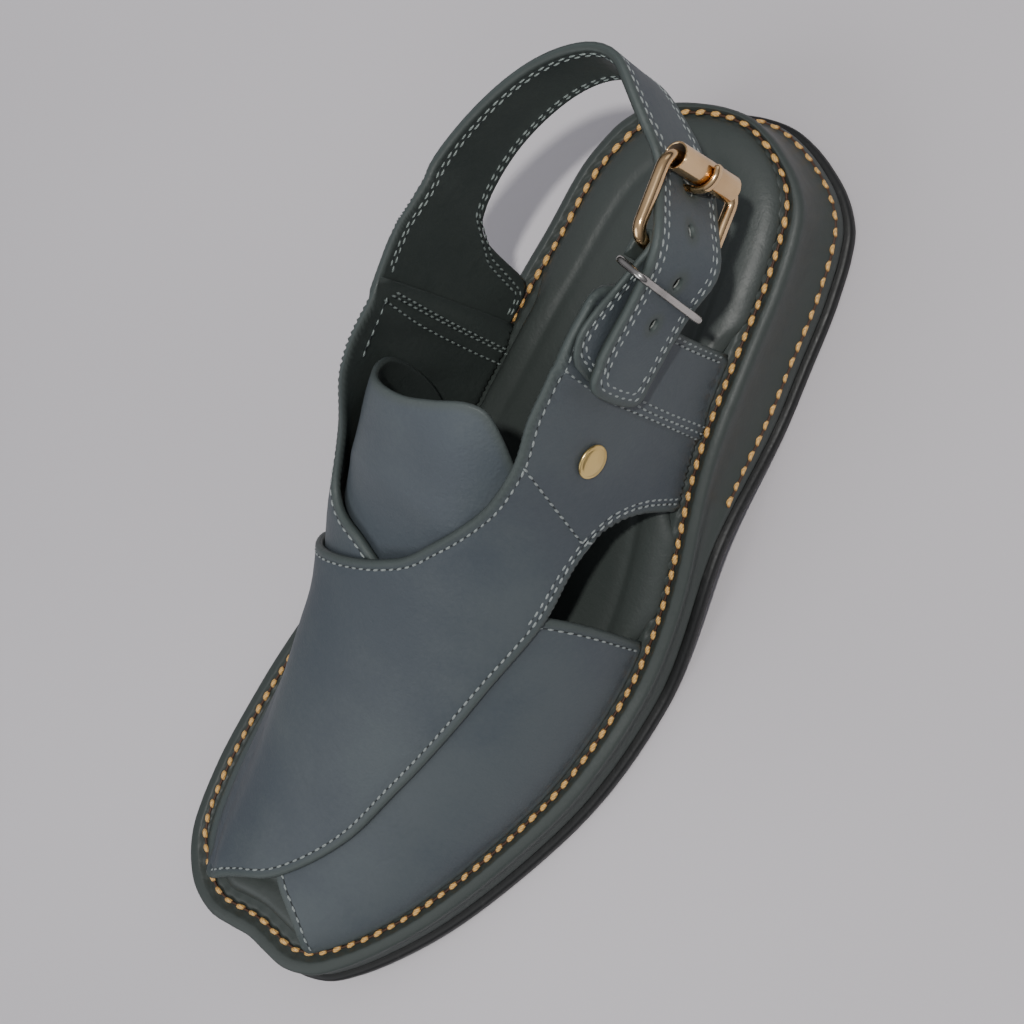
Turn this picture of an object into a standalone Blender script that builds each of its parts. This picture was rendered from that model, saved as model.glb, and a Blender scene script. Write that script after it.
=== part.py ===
"""Open cross-strap chappal for the left foot, toe towards -Y, little toe towards +X, standing on its sole.

Every piece is worked out from the welt stitch row, whose outline, length and width drive the sole, and
from the last, a foot-shaped surface that the straps are laid on. Lengths are in metres.
"""

import math

import bmesh
import bpy
import numpy as np
from mathutils import Vector
from mathutils.geometry import delaunay_2d_cdt

# Sole
STITCH_LENGTH = 0.2775
STITCH_HALF_WIDTH = 0.051
PLATFORM_AT_BALL = 0.014
PLATFORM_AT_HEEL = 0.032
TOE_SPRING = 0.006
ARCH_RISE = 0.009
OUTSOLE_THICKNESS = 0.004
INSOLE_THICKNESS = 0.0030
RIM_WIDTH = 0.006
TOE_EXTRA = 0.0010
HEEL_TRIM = 0.0032

# Leather
WALL = 0.0026
INSTEP_HEIGHT = 0.072
SEAM_RISE = 0.0010
SEAM_FADE = 0.009
TONGUE_WALL = 0.0020
TONGUE_GAP = 0.0015
GAP = 0.0003
UPPER_INSET = 0.0012
MEDIAL_BULGE = 0.0056
INSOLE_INSET = UPPER_INSET + WALL + 2 * GAP

# Heel strap
STRAP_WALL = 0.0026
STRAP_WIDTH = 0.0255
STRAP_TOP = 0.1125
STRAP_ROWS = 9
HOLE_DIAMETER = 0.0028
HOLE_PITCH = 0.0124
PRONG_HOLE_LENGTH = 0.0046
PRONG_HOLE_WIDTH = 0.0056
CHAPE_WALL = 0.0016
CHAPE_WIDTH = 0.0240
TIP_LIFT = WALL + SEAM_RISE + GAP + CHAPE_WALL + GAP

# Buckle, keeper and stud
BUCKLE_WIRE = 0.0034
BUCKLE_WIDTH = 0.0266
ROLLER_DIAMETER = 0.0074
ROLLER_WALL = 0.0009
PRONG_WIDTH = 0.0034
PRONG_THICKNESS = 0.0014
KEEPER_WIRE = 0.0021
KEEPER_TILT = (-0.13, -0.118)
KEEPER_SLACK = 0.0006
KEEPER_ROW = 98.92
# Where the buckle sits on the heel strap. Row of its surface, counted from its seam; distance
# out from its inner face; distance up from its middle
HINGE_SEAT = (92.37, -(BUCKLE_WIRE / 2 + CHAPE_WALL + 3.7 * GAP), -0.0001)
ROLLER_SEAT = (81.21, STRAP_WALL + ROLLER_DIAMETER / 2 + 1.6 * GAP, 0.0003)
STUD_DIAMETER = 0.0098
STUD_HEIGHT = 0.0016
STUD_ALONG = 0.6586
STUD_AROUND = 0.67

RING_POINTS = 88
CAP_SPACING = 0.014
SKIN_SPACING = 0.0085

# The stitch row. along: share of its length from the toe; lateral, medial: shares of its half width
SIDES = (
    (0.035, 0.30, -0.84),
    (0.10, 0.53, -0.955),
    (0.20, 0.76, -0.985),
    (0.32, 0.955, -0.935),
    (0.43, 1.01, -0.84),
    (0.55, 0.965, -0.72),
    (0.68, 0.82, -0.62),
    (0.80, 0.715, -0.595),
    (0.90, 0.62, -0.58),
    (0.965, 0.475, -0.415),
)
# The toe and the heel back. along, across
TOE_END = ((0.004, 0.10), (0.004, -0.25), (-0.002, -0.58))
HEEL_END = (1.0, 0.06)

# The last. along; crown height as a share of the instep's; crown shift as a share of the half width
# there; squareness of the lateral and of the medial shoulder, 2 being an ellipse
SECTIONS = (
    (0.00, 0.11, -0.10, 2.0, 2.0),
    (0.10, 0.19, -0.12, 2.0, 2.0),
    (0.22, 0.35, -0.15, 2.0, 2.2),
    (0.34, 0.54, -0.20, 2.0, 2.6),
    (0.45, 0.75, -0.22, 2.0, 3.1),
    (0.55, 1.00, -0.22, 2.0, 3.5),
    (0.65, 1.36, -0.20, 2.0, 3.8),
    (0.80, 1.64, -0.10, 2.1, 3.8),
    (1.00, 1.70, 0.00, 2.6, 3.2),
)
# The tongue's own crown, lower than the last where the throat opens. along, share of the instep height
TONGUE_CROWN = ((0.44, 0.80), (0.50, 0.86), (0.56, 0.94), (0.62, 1.02), (0.72, 1.05))

# Strap edges on the last. along; around: -1 medial base, 0 crown, +1 lateral base
TOP_STRAP_FRONT = (
    (0.018, -1.0),
    (0.016, -0.5),
    (0.040, -0.10),
    (0.065, 0.11),
    (0.097, 0.21),
    (0.162, 0.31),
    (0.249, 0.36),
    (0.335, 0.41),
    (0.422, 0.47),
    (0.494, 0.55),
    (0.555, 0.63),
    (0.602, 0.75),
    (0.623, 0.86),
    (0.634, 1.0),
)
QUARTER_BACK = (
    (0.796, 1.0),
    (0.797, 0.90),
    (0.799, 0.826),
    (0.805, 0.75),
    (0.814, 0.69),
    (0.818, 0.635),
    (0.806, 0.590),
    (0.780, 0.570),
    (0.751, 0.552),
)
TOP_STRAP_THROAT = (
    (0.751, 0.552),
    (0.709, 0.527),
    (0.672, 0.496),
    (0.631, 0.465),
    (0.591, 0.39),
    (0.548, 0.27),
    (0.512, 0.16),
    (0.479, 0.05),
    (0.447, -0.17),
    (0.430, -0.37),
    (0.425, -0.52),
    (0.434, -0.76),
    (0.454, -1.0),
)
UNDER_STRAP_TOE = ((0.097, 0.02), (0.068, 0.14), (0.047, 0.32), (0.022, 0.67), (0.014, 1.0))
UNDER_STRAP_BACK = (
    (0.497, 1.0),
    (0.500, 0.74),
    (0.492, 0.55),
    (0.462, 0.33),
    (0.440, 0.12),
    (0.450, -0.02),
    (0.466, -0.18),
    (0.476, -0.32),
    (0.495, -0.415),
    (0.540, -0.465),
    (0.595, -0.505),
    (0.627, -0.542),
    (0.663, -0.580),
    (0.706, -0.618),
)
UNDER_STRAP_FRONT = (
    (0.602, -1.0),
    (0.588, -0.92),
    (0.555, -0.82),
    (0.515, -0.72),
    (0.470, -0.64),
    (0.425, -0.56),
    (0.370, -0.42),
    (0.280, -0.25),
    (0.180, -0.12),
    (0.097, 0.02),
)
SEAM_FRONT = ((0.708, 1.04), (0.712, 0.82), (0.717, 0.68), (0.727, 0.50))
TONGUE_EDGE = (
    (0.600, -0.74),
    (0.624, -0.62),
    (0.634, -0.50),
    (0.622, -0.36),
    (0.624, -0.17),
    (0.637, 0.0),
    (0.655, 0.18),
    (0.656, 0.26),
    (0.640, 0.34),
    (0.600, 0.44),
    (0.550, 0.50),
    (0.490, 0.48),
    (0.430, 0.36),
    (0.385, 0.18),
    (0.372, -0.04),
    (0.385, -0.28),
    (0.420, -0.52),
    (0.480, -0.70),
    (0.550, -0.78),
)

# The medial quarter, front to back. along and height (share of the strap's top) of its lower edge, 0
# being the platform; along and height of its upper edge
QUARTER_ROWS = (
    (0.680, 0.0, 0.680, 0.850),
    (0.709, 0.0, 0.709, 0.878),
    (0.738, 0.0, 0.738, 0.908),
    (0.751, 0.0, 0.752, 0.920),
    (0.7575, 0.36, 0.760, 0.928),
    (0.768, 0.49, 0.772, 0.930),
    (0.779, 0.585, 0.788, 0.932),
    (0.797, 0.640, 0.812, 0.934),
)
QUARTER_STRAIGHT = 3
# Round the heel and through the buckle: middle of the strap's inner face (across as a share of the half
# width, along, height as a share of the strap's top), lean across and along, share of the width
STRAP_COURSE = (
    (-0.604, 0.8261, 0.804, -0.054, -0.030, 1.16),
    (-0.543, 0.8827, 0.818, -0.010, 0.020, 1.10),
    (-0.376, 0.9476, 0.831, 0.000, 0.030, 1.05),
    (-0.163, 0.9829, 0.840, 0.030, 0.080, 1.0),
    (0.000, 0.9872, 0.844, 0.000, 0.080, 1.0),
    (0.118, 0.9782, 0.844, -0.040, 0.000, 1.0),
    (0.267, 0.9609, 0.831, -0.085, -0.050, 1.0),
    (0.352, 0.9500, 0.820, -0.110, -0.060, 1.0),
    (0.479, 0.9277, 0.791, -0.250, 0.060, 1.0),
    (0.616, 0.8978, 0.811, -0.250, 0.060, 0.99),
    (0.755, 0.8679, 0.832, -0.250, 0.040, 0.98),
    (0.730, 0.8310, 0.811, -0.190, 0.010, 0.95),
)
QUARTER_END = STRAP_COURSE[0][0] * STITCH_HALF_WIDTH
# The tip on the lateral quarter. along; around of its lower and upper edge
TIP_ROWS = ((0.762, 0.752, 0.605), (0.742, 0.743, 0.598), (0.725, 0.737, 0.592), (0.7185, 0.734, 0.590))
# The thin strap on the quarter. along, around of its upper and of its lower edge
CHAPE_ROWS = (
    (0.729, 0.604, 0.658),
    (0.732, 0.582, 0.680),
    (0.738, 0.566, 0.697),
    (0.748, 0.557, 0.705),
    (0.765, 0.556, 0.708),
    (0.785, 0.572, 0.718),
    (0.800, 0.588, 0.730),
    (0.816, 0.606, 0.744),
)
# Its end inside the hinge. distance in front of the hinge, distance inwards, share of its width
CHAPE_RETURN = ((0.0028, 0.0026, 1.0), (0.0048, 0.0034, 0.98))
# The prong beyond its curl. share of the way from the hinge to the roller, distance on from there,
# distance outwards
PRONG_ARM = (
    (0.0, 0.0044, -0.0012),
    (0.36, 0.0, -0.0019),
    (0.54, 0.0, -0.0036),
    (1.0, -0.0073, -0.0052),
    (1.0, -0.0061, -0.0056),
    (1.0, -0.0054, -0.0048),
    (1.0, -0.0049, -0.0032),
    (1.0, -0.00485, -0.0014),
    (1.0, -0.0048, 0.0003),
    (1.0, -0.0041, 0.0026),
    (1.0, -0.0025, 0.0042),
    (1.0, -0.0001, 0.0049),
    (1.0, 0.0017, 0.0045),
    (1.0, 0.0026, 0.0038),
)
# Where it goes through the strap. distance on from the roller, distance outwards
PRONG_THROUGH = (-0.0051, -0.0036)
# The stud. share of its radius, share of its height
STUD_PROFILE = ((0.90, 0.0), (1.0, 0.15), (1.0, 0.45), (0.94, 0.62), (0.86, 0.60), (0.80, 0.70), (0.50, 0.93), (0.2, 1.0))
AROUND_SCALE = 0.06
TOE_Y = -STITCH_LENGTH / 2


def smooth(value):
    """0 to 1 with level ends, for values outside 0 to 1 too."""
    value = np.clip(value, 0.0, 1.0)
    return value * value * (3 - 2 * value)


def curve_through(points, closed=False, steps=12):
    """A smooth curve through the points, with any number of coordinates each."""
    points = np.array(points, float)
    count = len(points)
    if closed:
        near = np.array([[points[(i + k - 1) % count] for k in range(4)] for i in range(count)])
    else:
        before = 2 * points[0] - points[1]
        after = 2 * points[-1] - points[-2]
        points = np.concatenate([[before], points, [after]])
        near = np.array([points[i : i + 4] for i in range(count - 1)])
    found = []
    for first, start, end, last_one in near:
        spans = [math.sqrt(max(math.dist(a, b), 1e-12)) for a, b in ((first, start), (start, end), (end, last_one))]
        leave = _slope(first, start, end, spans[0], spans[1])
        arrive = _slope(start, end, last_one, spans[1], spans[2])
        for t in np.arange(steps) / steps:
            found.append(
                (2 * t**3 - 3 * t**2 + 1) * start
                + (t**3 - 2 * t**2 + t) * spans[1] * leave
                + (3 * t**2 - 2 * t**3) * end
                + (t**3 - t**2) * spans[1] * arrive
            )
    if not closed:
        found.append(points[-2])
    return np.array(found)


def _slope(before, here, after, span_before, span_after):
    """The curve's speed at a point whose neighbours lie at uneven spans."""
    return (
        (here - before) / span_before
        - (after - before) / (span_before + span_after)
        + (after - here) / span_after
    )


def spaced(points, count, closed=False):
    """The same polyline with evenly spaced points."""
    points = np.array(points, float)
    if closed:
        points = np.concatenate([points, points[:1]])
    steps = np.linalg.norm(np.diff(points, axis=0), axis=1)
    run = np.concatenate([[0], np.cumsum(steps)])
    wanted = np.linspace(0, run[-1], count, endpoint=not closed)
    return np.stack([np.interp(wanted, run, points[:, i]) for i in range(points.shape[1])], axis=1)


def stitch_outline():
    """The stitch row seen from above, from the heel back round the lateral side."""
    lateral = [(side * STITCH_HALF_WIDTH, y_at(along)) for along, side, _ in reversed(SIDES)]
    medial = [(side * STITCH_HALF_WIDTH, y_at(along)) for along, _, side in SIDES]
    toe = [(across * STITCH_HALF_WIDTH, y_at(along)) for along, across in TOE_END]
    heel = (HEEL_END[1] * STITCH_HALF_WIDTH, y_at(HEEL_END[0]))
    return curve_through([heel] + lateral + toe + medial, closed=True)


def y_at(along):
    return TOE_Y + along * STITCH_LENGTH


def along_at(y):
    return (np.asarray(y) - TOE_Y) / STITCH_LENGTH


OUTLINE = stitch_outline()
RING = spaced(OUTLINE, RING_POINTS, closed=True)
TOE_INDEX = int(np.argmin(np.abs(OUTLINE[:, 0] + 0.4 * STITCH_HALF_WIDTH) + (OUTLINE[:, 1] > 0)))
LATERAL_SIDE = OUTLINE[: TOE_INDEX + 1]
MEDIAL_SIDE = np.concatenate([OUTLINE[TOE_INDEX:], OUTLINE[:1]])
SECTION_CURVE = curve_through(SECTIONS)
TONGUE_CURVE = curve_through(TONGUE_CROWN)


def outward(ring):
    """Unit normals of a closed ring that runs clockwise seen from above."""
    along = np.roll(ring, -1, axis=0) - np.roll(ring, 1, axis=0)
    normal = np.stack([-along[:, 1], along[:, 0]], axis=1)
    return normal / np.linalg.norm(normal, axis=1, keepdims=True)


def toe_rise(along):
    return TOE_SPRING * np.clip((0.21 - along) / 0.21, 0.0, 1.1) ** 2


def platform_top(y):
    """Height of the platform, which the footbed and the straps stand on."""
    along = along_at(y)
    ramp = smooth((along - 0.43) / 0.325)
    return PLATFORM_AT_BALL + (PLATFORM_AT_HEEL - PLATFORM_AT_BALL) * ramp + toe_rise(along)


def sole_bottom(y):
    """Flat under the heel and the ball, raised at the arch and the toe."""
    along = along_at(y)
    arch = smooth((along - 0.44) / 0.17) * smooth((0.77 - along) / 0.16)
    return toe_rise(along) + ARCH_RISE * arch


def heel_share(y):
    """0 at the ball, 1 where the side has the heel's cove and flange."""
    return smooth((along_at(y) - 0.56) / 0.14)


def toe_share(y):
    return smooth(1 - along_at(y) / 0.07)


def offset_ring(amount):
    """The stitch row moved outwards by an amount for each of its points, a little more round the toe and
    less round the back of the heel."""
    amount = np.broadcast_to(amount, len(RING))
    extra = TOE_EXTRA * toe_share(RING[:, 1]) - HEEL_TRIM * smooth((along_at(RING[:, 1]) - 0.93) / 0.07)
    extra = extra * np.clip(amount / RIM_WIDTH, 0, 1)
    return RING + outward(RING) * (amount + extra)[:, None]


def inset_ring(ring, distance):
    """A closed ring moved inwards in small steps, spaced afresh at each one so that its corners stay round."""
    steps = math.ceil(distance / 0.001)
    for _ in range(steps):
        ring = spaced(ring - outward(ring) * distance / steps, len(ring), closed=True)
    return ring


def at_height(ring, height):
    return np.column_stack([ring, np.broadcast_to(height, len(ring))])


def fill(outline, spacing):
    """Points inside a closed outline, and the triangles that fill it as indices into both."""
    outline = np.array(outline)
    low = outline.min(axis=0)
    high = outline.max(axis=0)
    inner = []
    row_step = spacing * math.sqrt(3) / 2
    for row, y in enumerate(np.arange(low[1] + row_step / 2, high[1], row_step)):
        for x in np.arange(low[0] + (row % 2) * spacing / 2, high[0], spacing):
            point = np.array([x, y])
            if inside(point, outline) and distance_to(point, outline, closed=True) > 0.45 * spacing:
                inner.append(point)
    count = len(outline)
    points = np.concatenate([outline, np.array(inner).reshape(-1, 2)])
    _, _, faces, origin, _, _ = delaunay_2d_cdt(
        [Vector(point / spacing) for point in points],
        [(i, (i + 1) % count) for i in range(count)],
        [list(range(count))],
        1,
        1e-6,
    )
    return points[count:], [[origin[i][0] for i in face] for face in faces]


def signed_area(outline):
    """Positive for an outline that runs anticlockwise."""
    following = np.roll(outline, -1, axis=0)
    return float((outline[:, 0] * following[:, 1] - following[:, 0] * outline[:, 1]).sum() / 2)


def inside(point, outline):
    """Whether a point lies in a closed outline, by counting the edges to its right."""
    x, y = point
    ends = np.roll(outline, -1, axis=0)
    crosses = (outline[:, 1] > y) != (ends[:, 1] > y)
    slope = np.where(crosses, ends[:, 1] - outline[:, 1], 1.0)
    at = outline[:, 0] + (y - outline[:, 1]) / slope * (ends[:, 0] - outline[:, 0])
    return bool(np.count_nonzero(crosses & (at > x)) % 2)


def distance_to(point, line, closed=False):
    starts = line if closed else line[:-1]
    ends = np.roll(line, -1, axis=0) if closed else line[1:]
    edges = ends - starts
    share = ((point - starts) * edges).sum(axis=1) / np.maximum((edges**2).sum(axis=1), 1e-18)
    nearest = starts + np.clip(share, 0, 1)[:, None] * edges
    return float(np.linalg.norm(nearest - point, axis=1).min())


def finish(name, mesh_data, colour, roughness, metallic=0.0):
    """Makes the object from a bmesh, with its normals outwards and its own material."""
    bmesh.ops.recalc_face_normals(mesh_data, faces=mesh_data.faces)
    mesh = bpy.data.meshes.new(name)
    mesh_data.to_mesh(mesh)
    mesh_data.free()
    mesh.shade_smooth()
    mesh.set_sharp_from_angle(angle=math.radians(38))
    piece = bpy.data.objects.new(name, mesh)
    bpy.context.scene.collection.objects.link(piece)
    material = bpy.data.materials.new(name)
    material.use_nodes = True
    shader = material.node_tree.nodes["Principled BSDF"]
    shader.inputs["Base Color"].default_value = (*colour, 1.0)
    shader.inputs["Roughness"].default_value = roughness
    shader.inputs["Metallic"].default_value = metallic
    mesh.materials.append(material)
    return piece


def stacked(name, rings, bottom, top, colour, roughness):
    """A solid from rings of points, lowest first, closed by caps whose heights are functions of y."""
    made = bmesh.new()
    rows = [[made.verts.new(point) for point in ring] for ring in rings]
    for lower, upper in zip(rows, rows[1:]):
        for i in range(len(lower)):
            j = (i + 1) % len(lower)
            made.faces.new((lower[i], lower[j], upper[j], upper[i]))
    for row, ring, height in ((rows[0], rings[0], bottom), (rows[-1], rings[-1], top)):
        inner, faces = fill(ring[:, :2], CAP_SPACING)
        verts = row + [made.verts.new((x, y, float(height(y)))) for x, y in inner]
        for face in faces:
            made.faces.new([verts[i] for i in face])
    return finish(name, made, colour, roughness)


# Columns: share of the outsole's thickness; how far it stands out at the ball and at the heel
OUTSOLE_SIDE = ((0.0, 0.0054, 0.0070), (0.2, 0.0061, 0.0077), (0.8, 0.0061, 0.0077), (1.0, 0.0052, 0.0068))
# Columns: share of the platform's side; how far it stands out at the ball and at the heel
PLATFORM_SIDE = (
    (0.00, 0.0052, 0.0068),
    (0.10, 0.0057, 0.0074),
    (0.28, 0.0054, 0.0060),
    (0.52, 0.0050, 0.0044),
    (0.76, 0.0055, 0.0049),
    (0.92, 0.0053, 0.0054),
)
# Columns: distance out from the stitch row; height over the platform
PLATFORM_RIM = ((0.0042, 0.0003), (0.0022, -0.0001), (0.0, -0.0007), (-0.0026, 0.0))
# Columns: distance in from the insole's edge; share of its thickness
INSOLE_PROFILE = ((0.0, 0.0), (0.0002, 0.40), (0.0013, 0.80), (0.0038, 1.0), (0.0062, 0.97), (0.0083, 0.66), (0.0106, 0.97), (0.0140, 1.06))


def outsole_top(y):
    return sole_bottom(y) + OUTSOLE_THICKNESS


def make_outsole():
    ball = 1 - heel_share(RING[:, 1])
    rings = []
    for share, at_ball, at_heel in OUTSOLE_SIDE:
        ring = offset_ring(at_ball * ball + at_heel * (1 - ball))
        rings.append(at_height(ring, sole_bottom(ring[:, 1]) + share * OUTSOLE_THICKNESS))
    return stacked("outsole", rings, sole_bottom, outsole_top, (0.012, 0.012, 0.012), 0.6)


def make_midsole():
    """The leather-wrapped platform, whose side deepens into the coved and flanged heel."""
    heel = heel_share(RING[:, 1])
    rings = []
    for share, at_ball, at_heel in PLATFORM_SIDE:
        ring = offset_ring(at_ball * (1 - heel) + at_heel * heel)
        low = outsole_top(ring[:, 1]) + GAP
        rings.append(at_height(ring, low + share * (platform_top(ring[:, 1]) - low)))
    for out, rise in PLATFORM_RIM:
        ring = offset_ring(out)
        rings.append(at_height(ring, platform_top(ring[:, 1]) + rise))
    return stacked(
        "midsole", rings, lambda y: outsole_top(y) + GAP, platform_top, (0.045, 0.055, 0.052), 0.55
    )


def make_insole():
    rings = []
    edge = inset_ring(RING, INSOLE_INSET)
    for inwards, share in INSOLE_PROFILE:
        ring = inset_ring(edge, inwards)
        rings.append(at_height(ring, platform_top(ring[:, 1]) + GAP + share * INSOLE_THICKNESS))
    top = INSOLE_PROFILE[-1][1] * INSOLE_THICKNESS
    return stacked(
        "insole",
        rings,
        lambda y: platform_top(y) + GAP,
        lambda y: platform_top(y) + GAP + top,
        (0.045, 0.055, 0.050),
        0.5,
    )


def side_x(y, inset):
    """Where the lateral and the medial side of the stitch row lie at y, moved inwards."""
    lateral = np.interp(-y, -LATERAL_SIDE[:, 1], LATERAL_SIDE[:, 0]) - inset
    medial = np.interp(y, MEDIAL_SIDE[:, 1], MEDIAL_SIDE[:, 0]) + inset
    return lateral, medial


def section_point(along, around, crown, inset):
    """A point of the last's section there: a superellipse whose lateral and medial quarter differ."""
    y = y_at(along)
    lateral, medial = side_x(y, inset)
    shift, lateral_square, medial_square = (
        np.interp(along, SECTION_CURVE[:, 0], SECTION_CURVE[:, i]) for i in (2, 3, 4)
    )
    centre = (lateral + medial) / 2 + shift * (lateral - medial) / 2
    angle = (1 - around) * math.pi / 2
    across, up = np.cos(angle), np.sin(angle)
    square = lateral_square + (medial_square - lateral_square) * (1 - across) / 2
    size = (np.abs(across) ** square + np.abs(up) ** square) ** (-1 / square)
    reach = np.where(across > 0, lateral - centre, centre - medial)
    bulge = MEDIAL_BULGE * smooth((along - 0.36) / 0.14) * smooth((0.98 - along) / 0.2)
    bulge = bulge * np.sin(math.pi * np.clip(-around, 0, 1))
    return np.stack(
        [
            centre + reach * size * across - bulge,
            y,
            platform_top(y) + GAP + crown * np.sign(up) * np.abs(up) * size,
        ],
        axis=-1,
    )


def on_last(along, around, lift=0.0):
    """The last's surface, with the leather's inner face at lift 0."""
    return lifted(last_base, np.asarray(along, float), np.asarray(around, float), lift)


def last_base(along, around):
    crown = INSTEP_HEIGHT * np.interp(along, SECTION_CURVE[:, 0], SECTION_CURVE[:, 1])
    return section_point(along, around, crown, UPPER_INSET + WALL)


def tongue_base(along, around):
    inset = TONGUE_WALL + TONGUE_GAP
    under_straps = np.interp(along, SECTION_CURVE[:, 0], SECTION_CURVE[:, 1]) - inset / INSTEP_HEIGHT
    own = np.interp(along, TONGUE_CURVE[:, 0], TONGUE_CURVE[:, 1])
    crown = INSTEP_HEIGHT * np.minimum(own, under_straps)
    return section_point(along, around, crown, UPPER_INSET + WALL + inset)


def lifted(surface, along, around, lift):
    """A point of a surface moved along its outward normal."""
    step_along, step_around = 0.002, 0.004
    forward = surface(along + step_along, around) - surface(along - step_along, around)
    sideways = surface(along, around + step_around) - surface(along, around - step_around)
    normal = np.cross(sideways, forward)
    normal /= np.linalg.norm(normal, axis=-1, keepdims=True)
    return surface(along, around) + normal * np.asarray(lift)[..., None]


def on_chart(rows, step=SKIN_SPACING * 0.75, curved=True):
    """Strap edge rows as evenly spaced chart points, in metres along and round the last."""
    line = np.array(rows, float) * (STITCH_LENGTH, AROUND_SCALE)
    if curved and len(line) > 2:
        line = curve_through(line)
    length = np.linalg.norm(np.diff(line, axis=0), axis=1).sum()
    return spaced(line, max(2, round(length / step) + 1))


def joined(*lines):
    """One closed outline from lines that meet end to start."""
    return np.concatenate([line[:-1] for line in lines])


def base_line(start, end, around):
    return on_chart(((start, around), (end, around)), curved=False)


def strap_regions():
    """The chart outlines of the top strap with its quarter, of the strap under it, and of the back
    quarter that laps over the seam."""
    top = joined(
        on_chart(TOP_STRAP_FRONT),
        base_line(TOP_STRAP_FRONT[-1][0], QUARTER_BACK[0][0], 1.0),
        on_chart(QUARTER_BACK),
        on_chart(TOP_STRAP_THROAT),
        base_line(TOP_STRAP_THROAT[-1][0], TOP_STRAP_FRONT[0][0], -1.0),
    )
    under = joined(
        on_chart(UNDER_STRAP_TOE),
        base_line(UNDER_STRAP_TOE[-1][0], UNDER_STRAP_BACK[0][0], 1.0),
        on_chart(UNDER_STRAP_BACK),
        on_chart((UNDER_STRAP_BACK[-1], (UNDER_STRAP_BACK[-1][0], -1.0)), curved=False),
        base_line(UNDER_STRAP_BACK[-1][0], UNDER_STRAP_FRONT[0][0], -1.0),
        on_chart(UNDER_STRAP_FRONT),
    )
    seam = on_chart(SEAM_FRONT)
    behind = on_chart(((SEAM_FRONT[-1]), (0.83, 0.50), (0.83, 1.04), SEAM_FRONT[0]), curved=False)
    return top, under, seam, joined(seam, behind)


def triangulated(outlines, spacing, wanted):
    """Chart points inside some closed outlines, their triangles, and for each of these the numbers of the
    outlines that it lies in."""
    outlines = [outline if signed_area(outline) > 0 else outline[::-1] for outline in outlines]
    points = [point for outline in outlines for point in outline]
    edges = []
    faces = []
    for outline in outlines:
        first = sum(len(face) for face in faces)
        count = len(outline)
        faces.append([first + i for i in range(count)])
        edges += [(first + i, first + (i + 1) % count) for i in range(count)]
    low, high = np.min(points, axis=0), np.max(points, axis=0)
    for row, x in enumerate(np.arange(low[0], high[0], spacing * math.sqrt(3) / 2)):
        for y in np.arange(low[1] + (row % 2) * spacing / 2, high[1], spacing):
            point = np.array([x, y])
            if wanted(point) and all(
                distance_to(point, outline, closed=True) > 0.5 * spacing for outline in outlines
            ):
                points.append(point)
    verts, _, tris, _, _, owners = delaunay_2d_cdt(
        [Vector(point / spacing) for point in points], edges, faces, 0, 1e-5
    )
    chart = np.array([vert[:2] for vert in verts]) * spacing
    return chart, [tuple(tri) for tri in tris], [set(owner) for owner in owners]


def make_upper():
    """Both straps and their quarters as one wall, the top strap a step above the one it crosses."""
    top, under, seam, back_quarter = strap_regions()
    chart, tris, owners = triangulated(
        (top, under, back_quarter), SKIN_SPACING, lambda point: inside(point, top) or inside(point, under)
    )
    layer_of = {}
    for tri, owner in zip(tris, owners):
        if 0 in owner:
            layer_of[tri] = "seam" if 2 in owner else "top"
        elif 1 in owner:
            layer_of[tri] = "under"

    def lift(layer, point):
        height = WALL
        if layer != "under":
            away = 0.0 if inside(point, under) else distance_to(point, under, closed=True)
            height += WALL * float(smooth(1 - away / 0.024))
        if layer == "seam":
            height += SEAM_RISE * float(smooth(1.15 - distance_to(point, seam) / SEAM_FADE))
        return height

    made = bmesh.new()
    columns = {}

    def vert(index, layer):
        """The vert of a chart point at a layer's lift; lifts that agree share one vert."""
        column = columns.setdefault(index, {})
        height = 0.0 if layer == "inner" else lift(layer, chart[index])
        for other, found in column.values():
            if abs(other - height) < 0.00005:
                column[layer] = (other, found)
                return found
        point = on_last(chart[index][0] / STITCH_LENGTH, chart[index][1] / AROUND_SCALE, height)
        column[layer] = (height, made.verts.new(point))
        return column[layer][1]

    sides_of = {}
    for tri, layer in layer_of.items():
        made.faces.new([vert(i, "inner") for i in reversed(tri)])
        made.faces.new([vert(i, layer) for i in tri])
        for start, end in zip(tri, tri[1:] + tri[:1]):
            sides_of.setdefault(frozenset((start, end)), []).append((start, end, layer))
    for sides in sides_of.values():
        start, end, layer = sides[0]
        other = sides[1][2] if len(sides) > 1 else "inner"
        if other == layer:
            continue
        rising = []
        for index in (start, end):
            low, high = sorted((columns[index][layer][0], columns[index][other][0]))
            rows = sorted(set(columns[index].values()), key=lambda row: row[0])
            rising.append([found for height, found in rows if low <= height <= high])
        loop = list(dict.fromkeys(rising[0] + rising[1][::-1]))
        if len(loop) > 2:
            made.faces.new(loop)
    bmesh.ops.triangulate(made, faces=[face for face in made.faces if len(face.verts) > 4])
    return finish("upper", made, (0.075, 0.090, 0.105), 0.6)


def sheet_of(name, inner, outer, faces, colour, roughness):
    """A solid sheet between two sets of points that share their faces, closed round every edge."""
    made = bmesh.new()
    inner = [made.verts.new(point) for point in inner]
    outer = [made.verts.new(point) for point in outer]
    sides = {}
    for face in faces:
        made.faces.new([inner[i] for i in reversed(face)])
        made.faces.new([outer[i] for i in face])
        for start, end in zip(face, face[1:] + face[:1]):
            sides.setdefault(frozenset((start, end)), []).append((start, end))
    for side in sides.values():
        if len(side) == 1:
            start, end = side[0]
            made.faces.new((inner[start], inner[end], outer[end], outer[start]))
    for vert in [vert for vert in made.verts if not vert.link_faces]:
        made.verts.remove(vert)
    return finish(name, made, colour, roughness)


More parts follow.
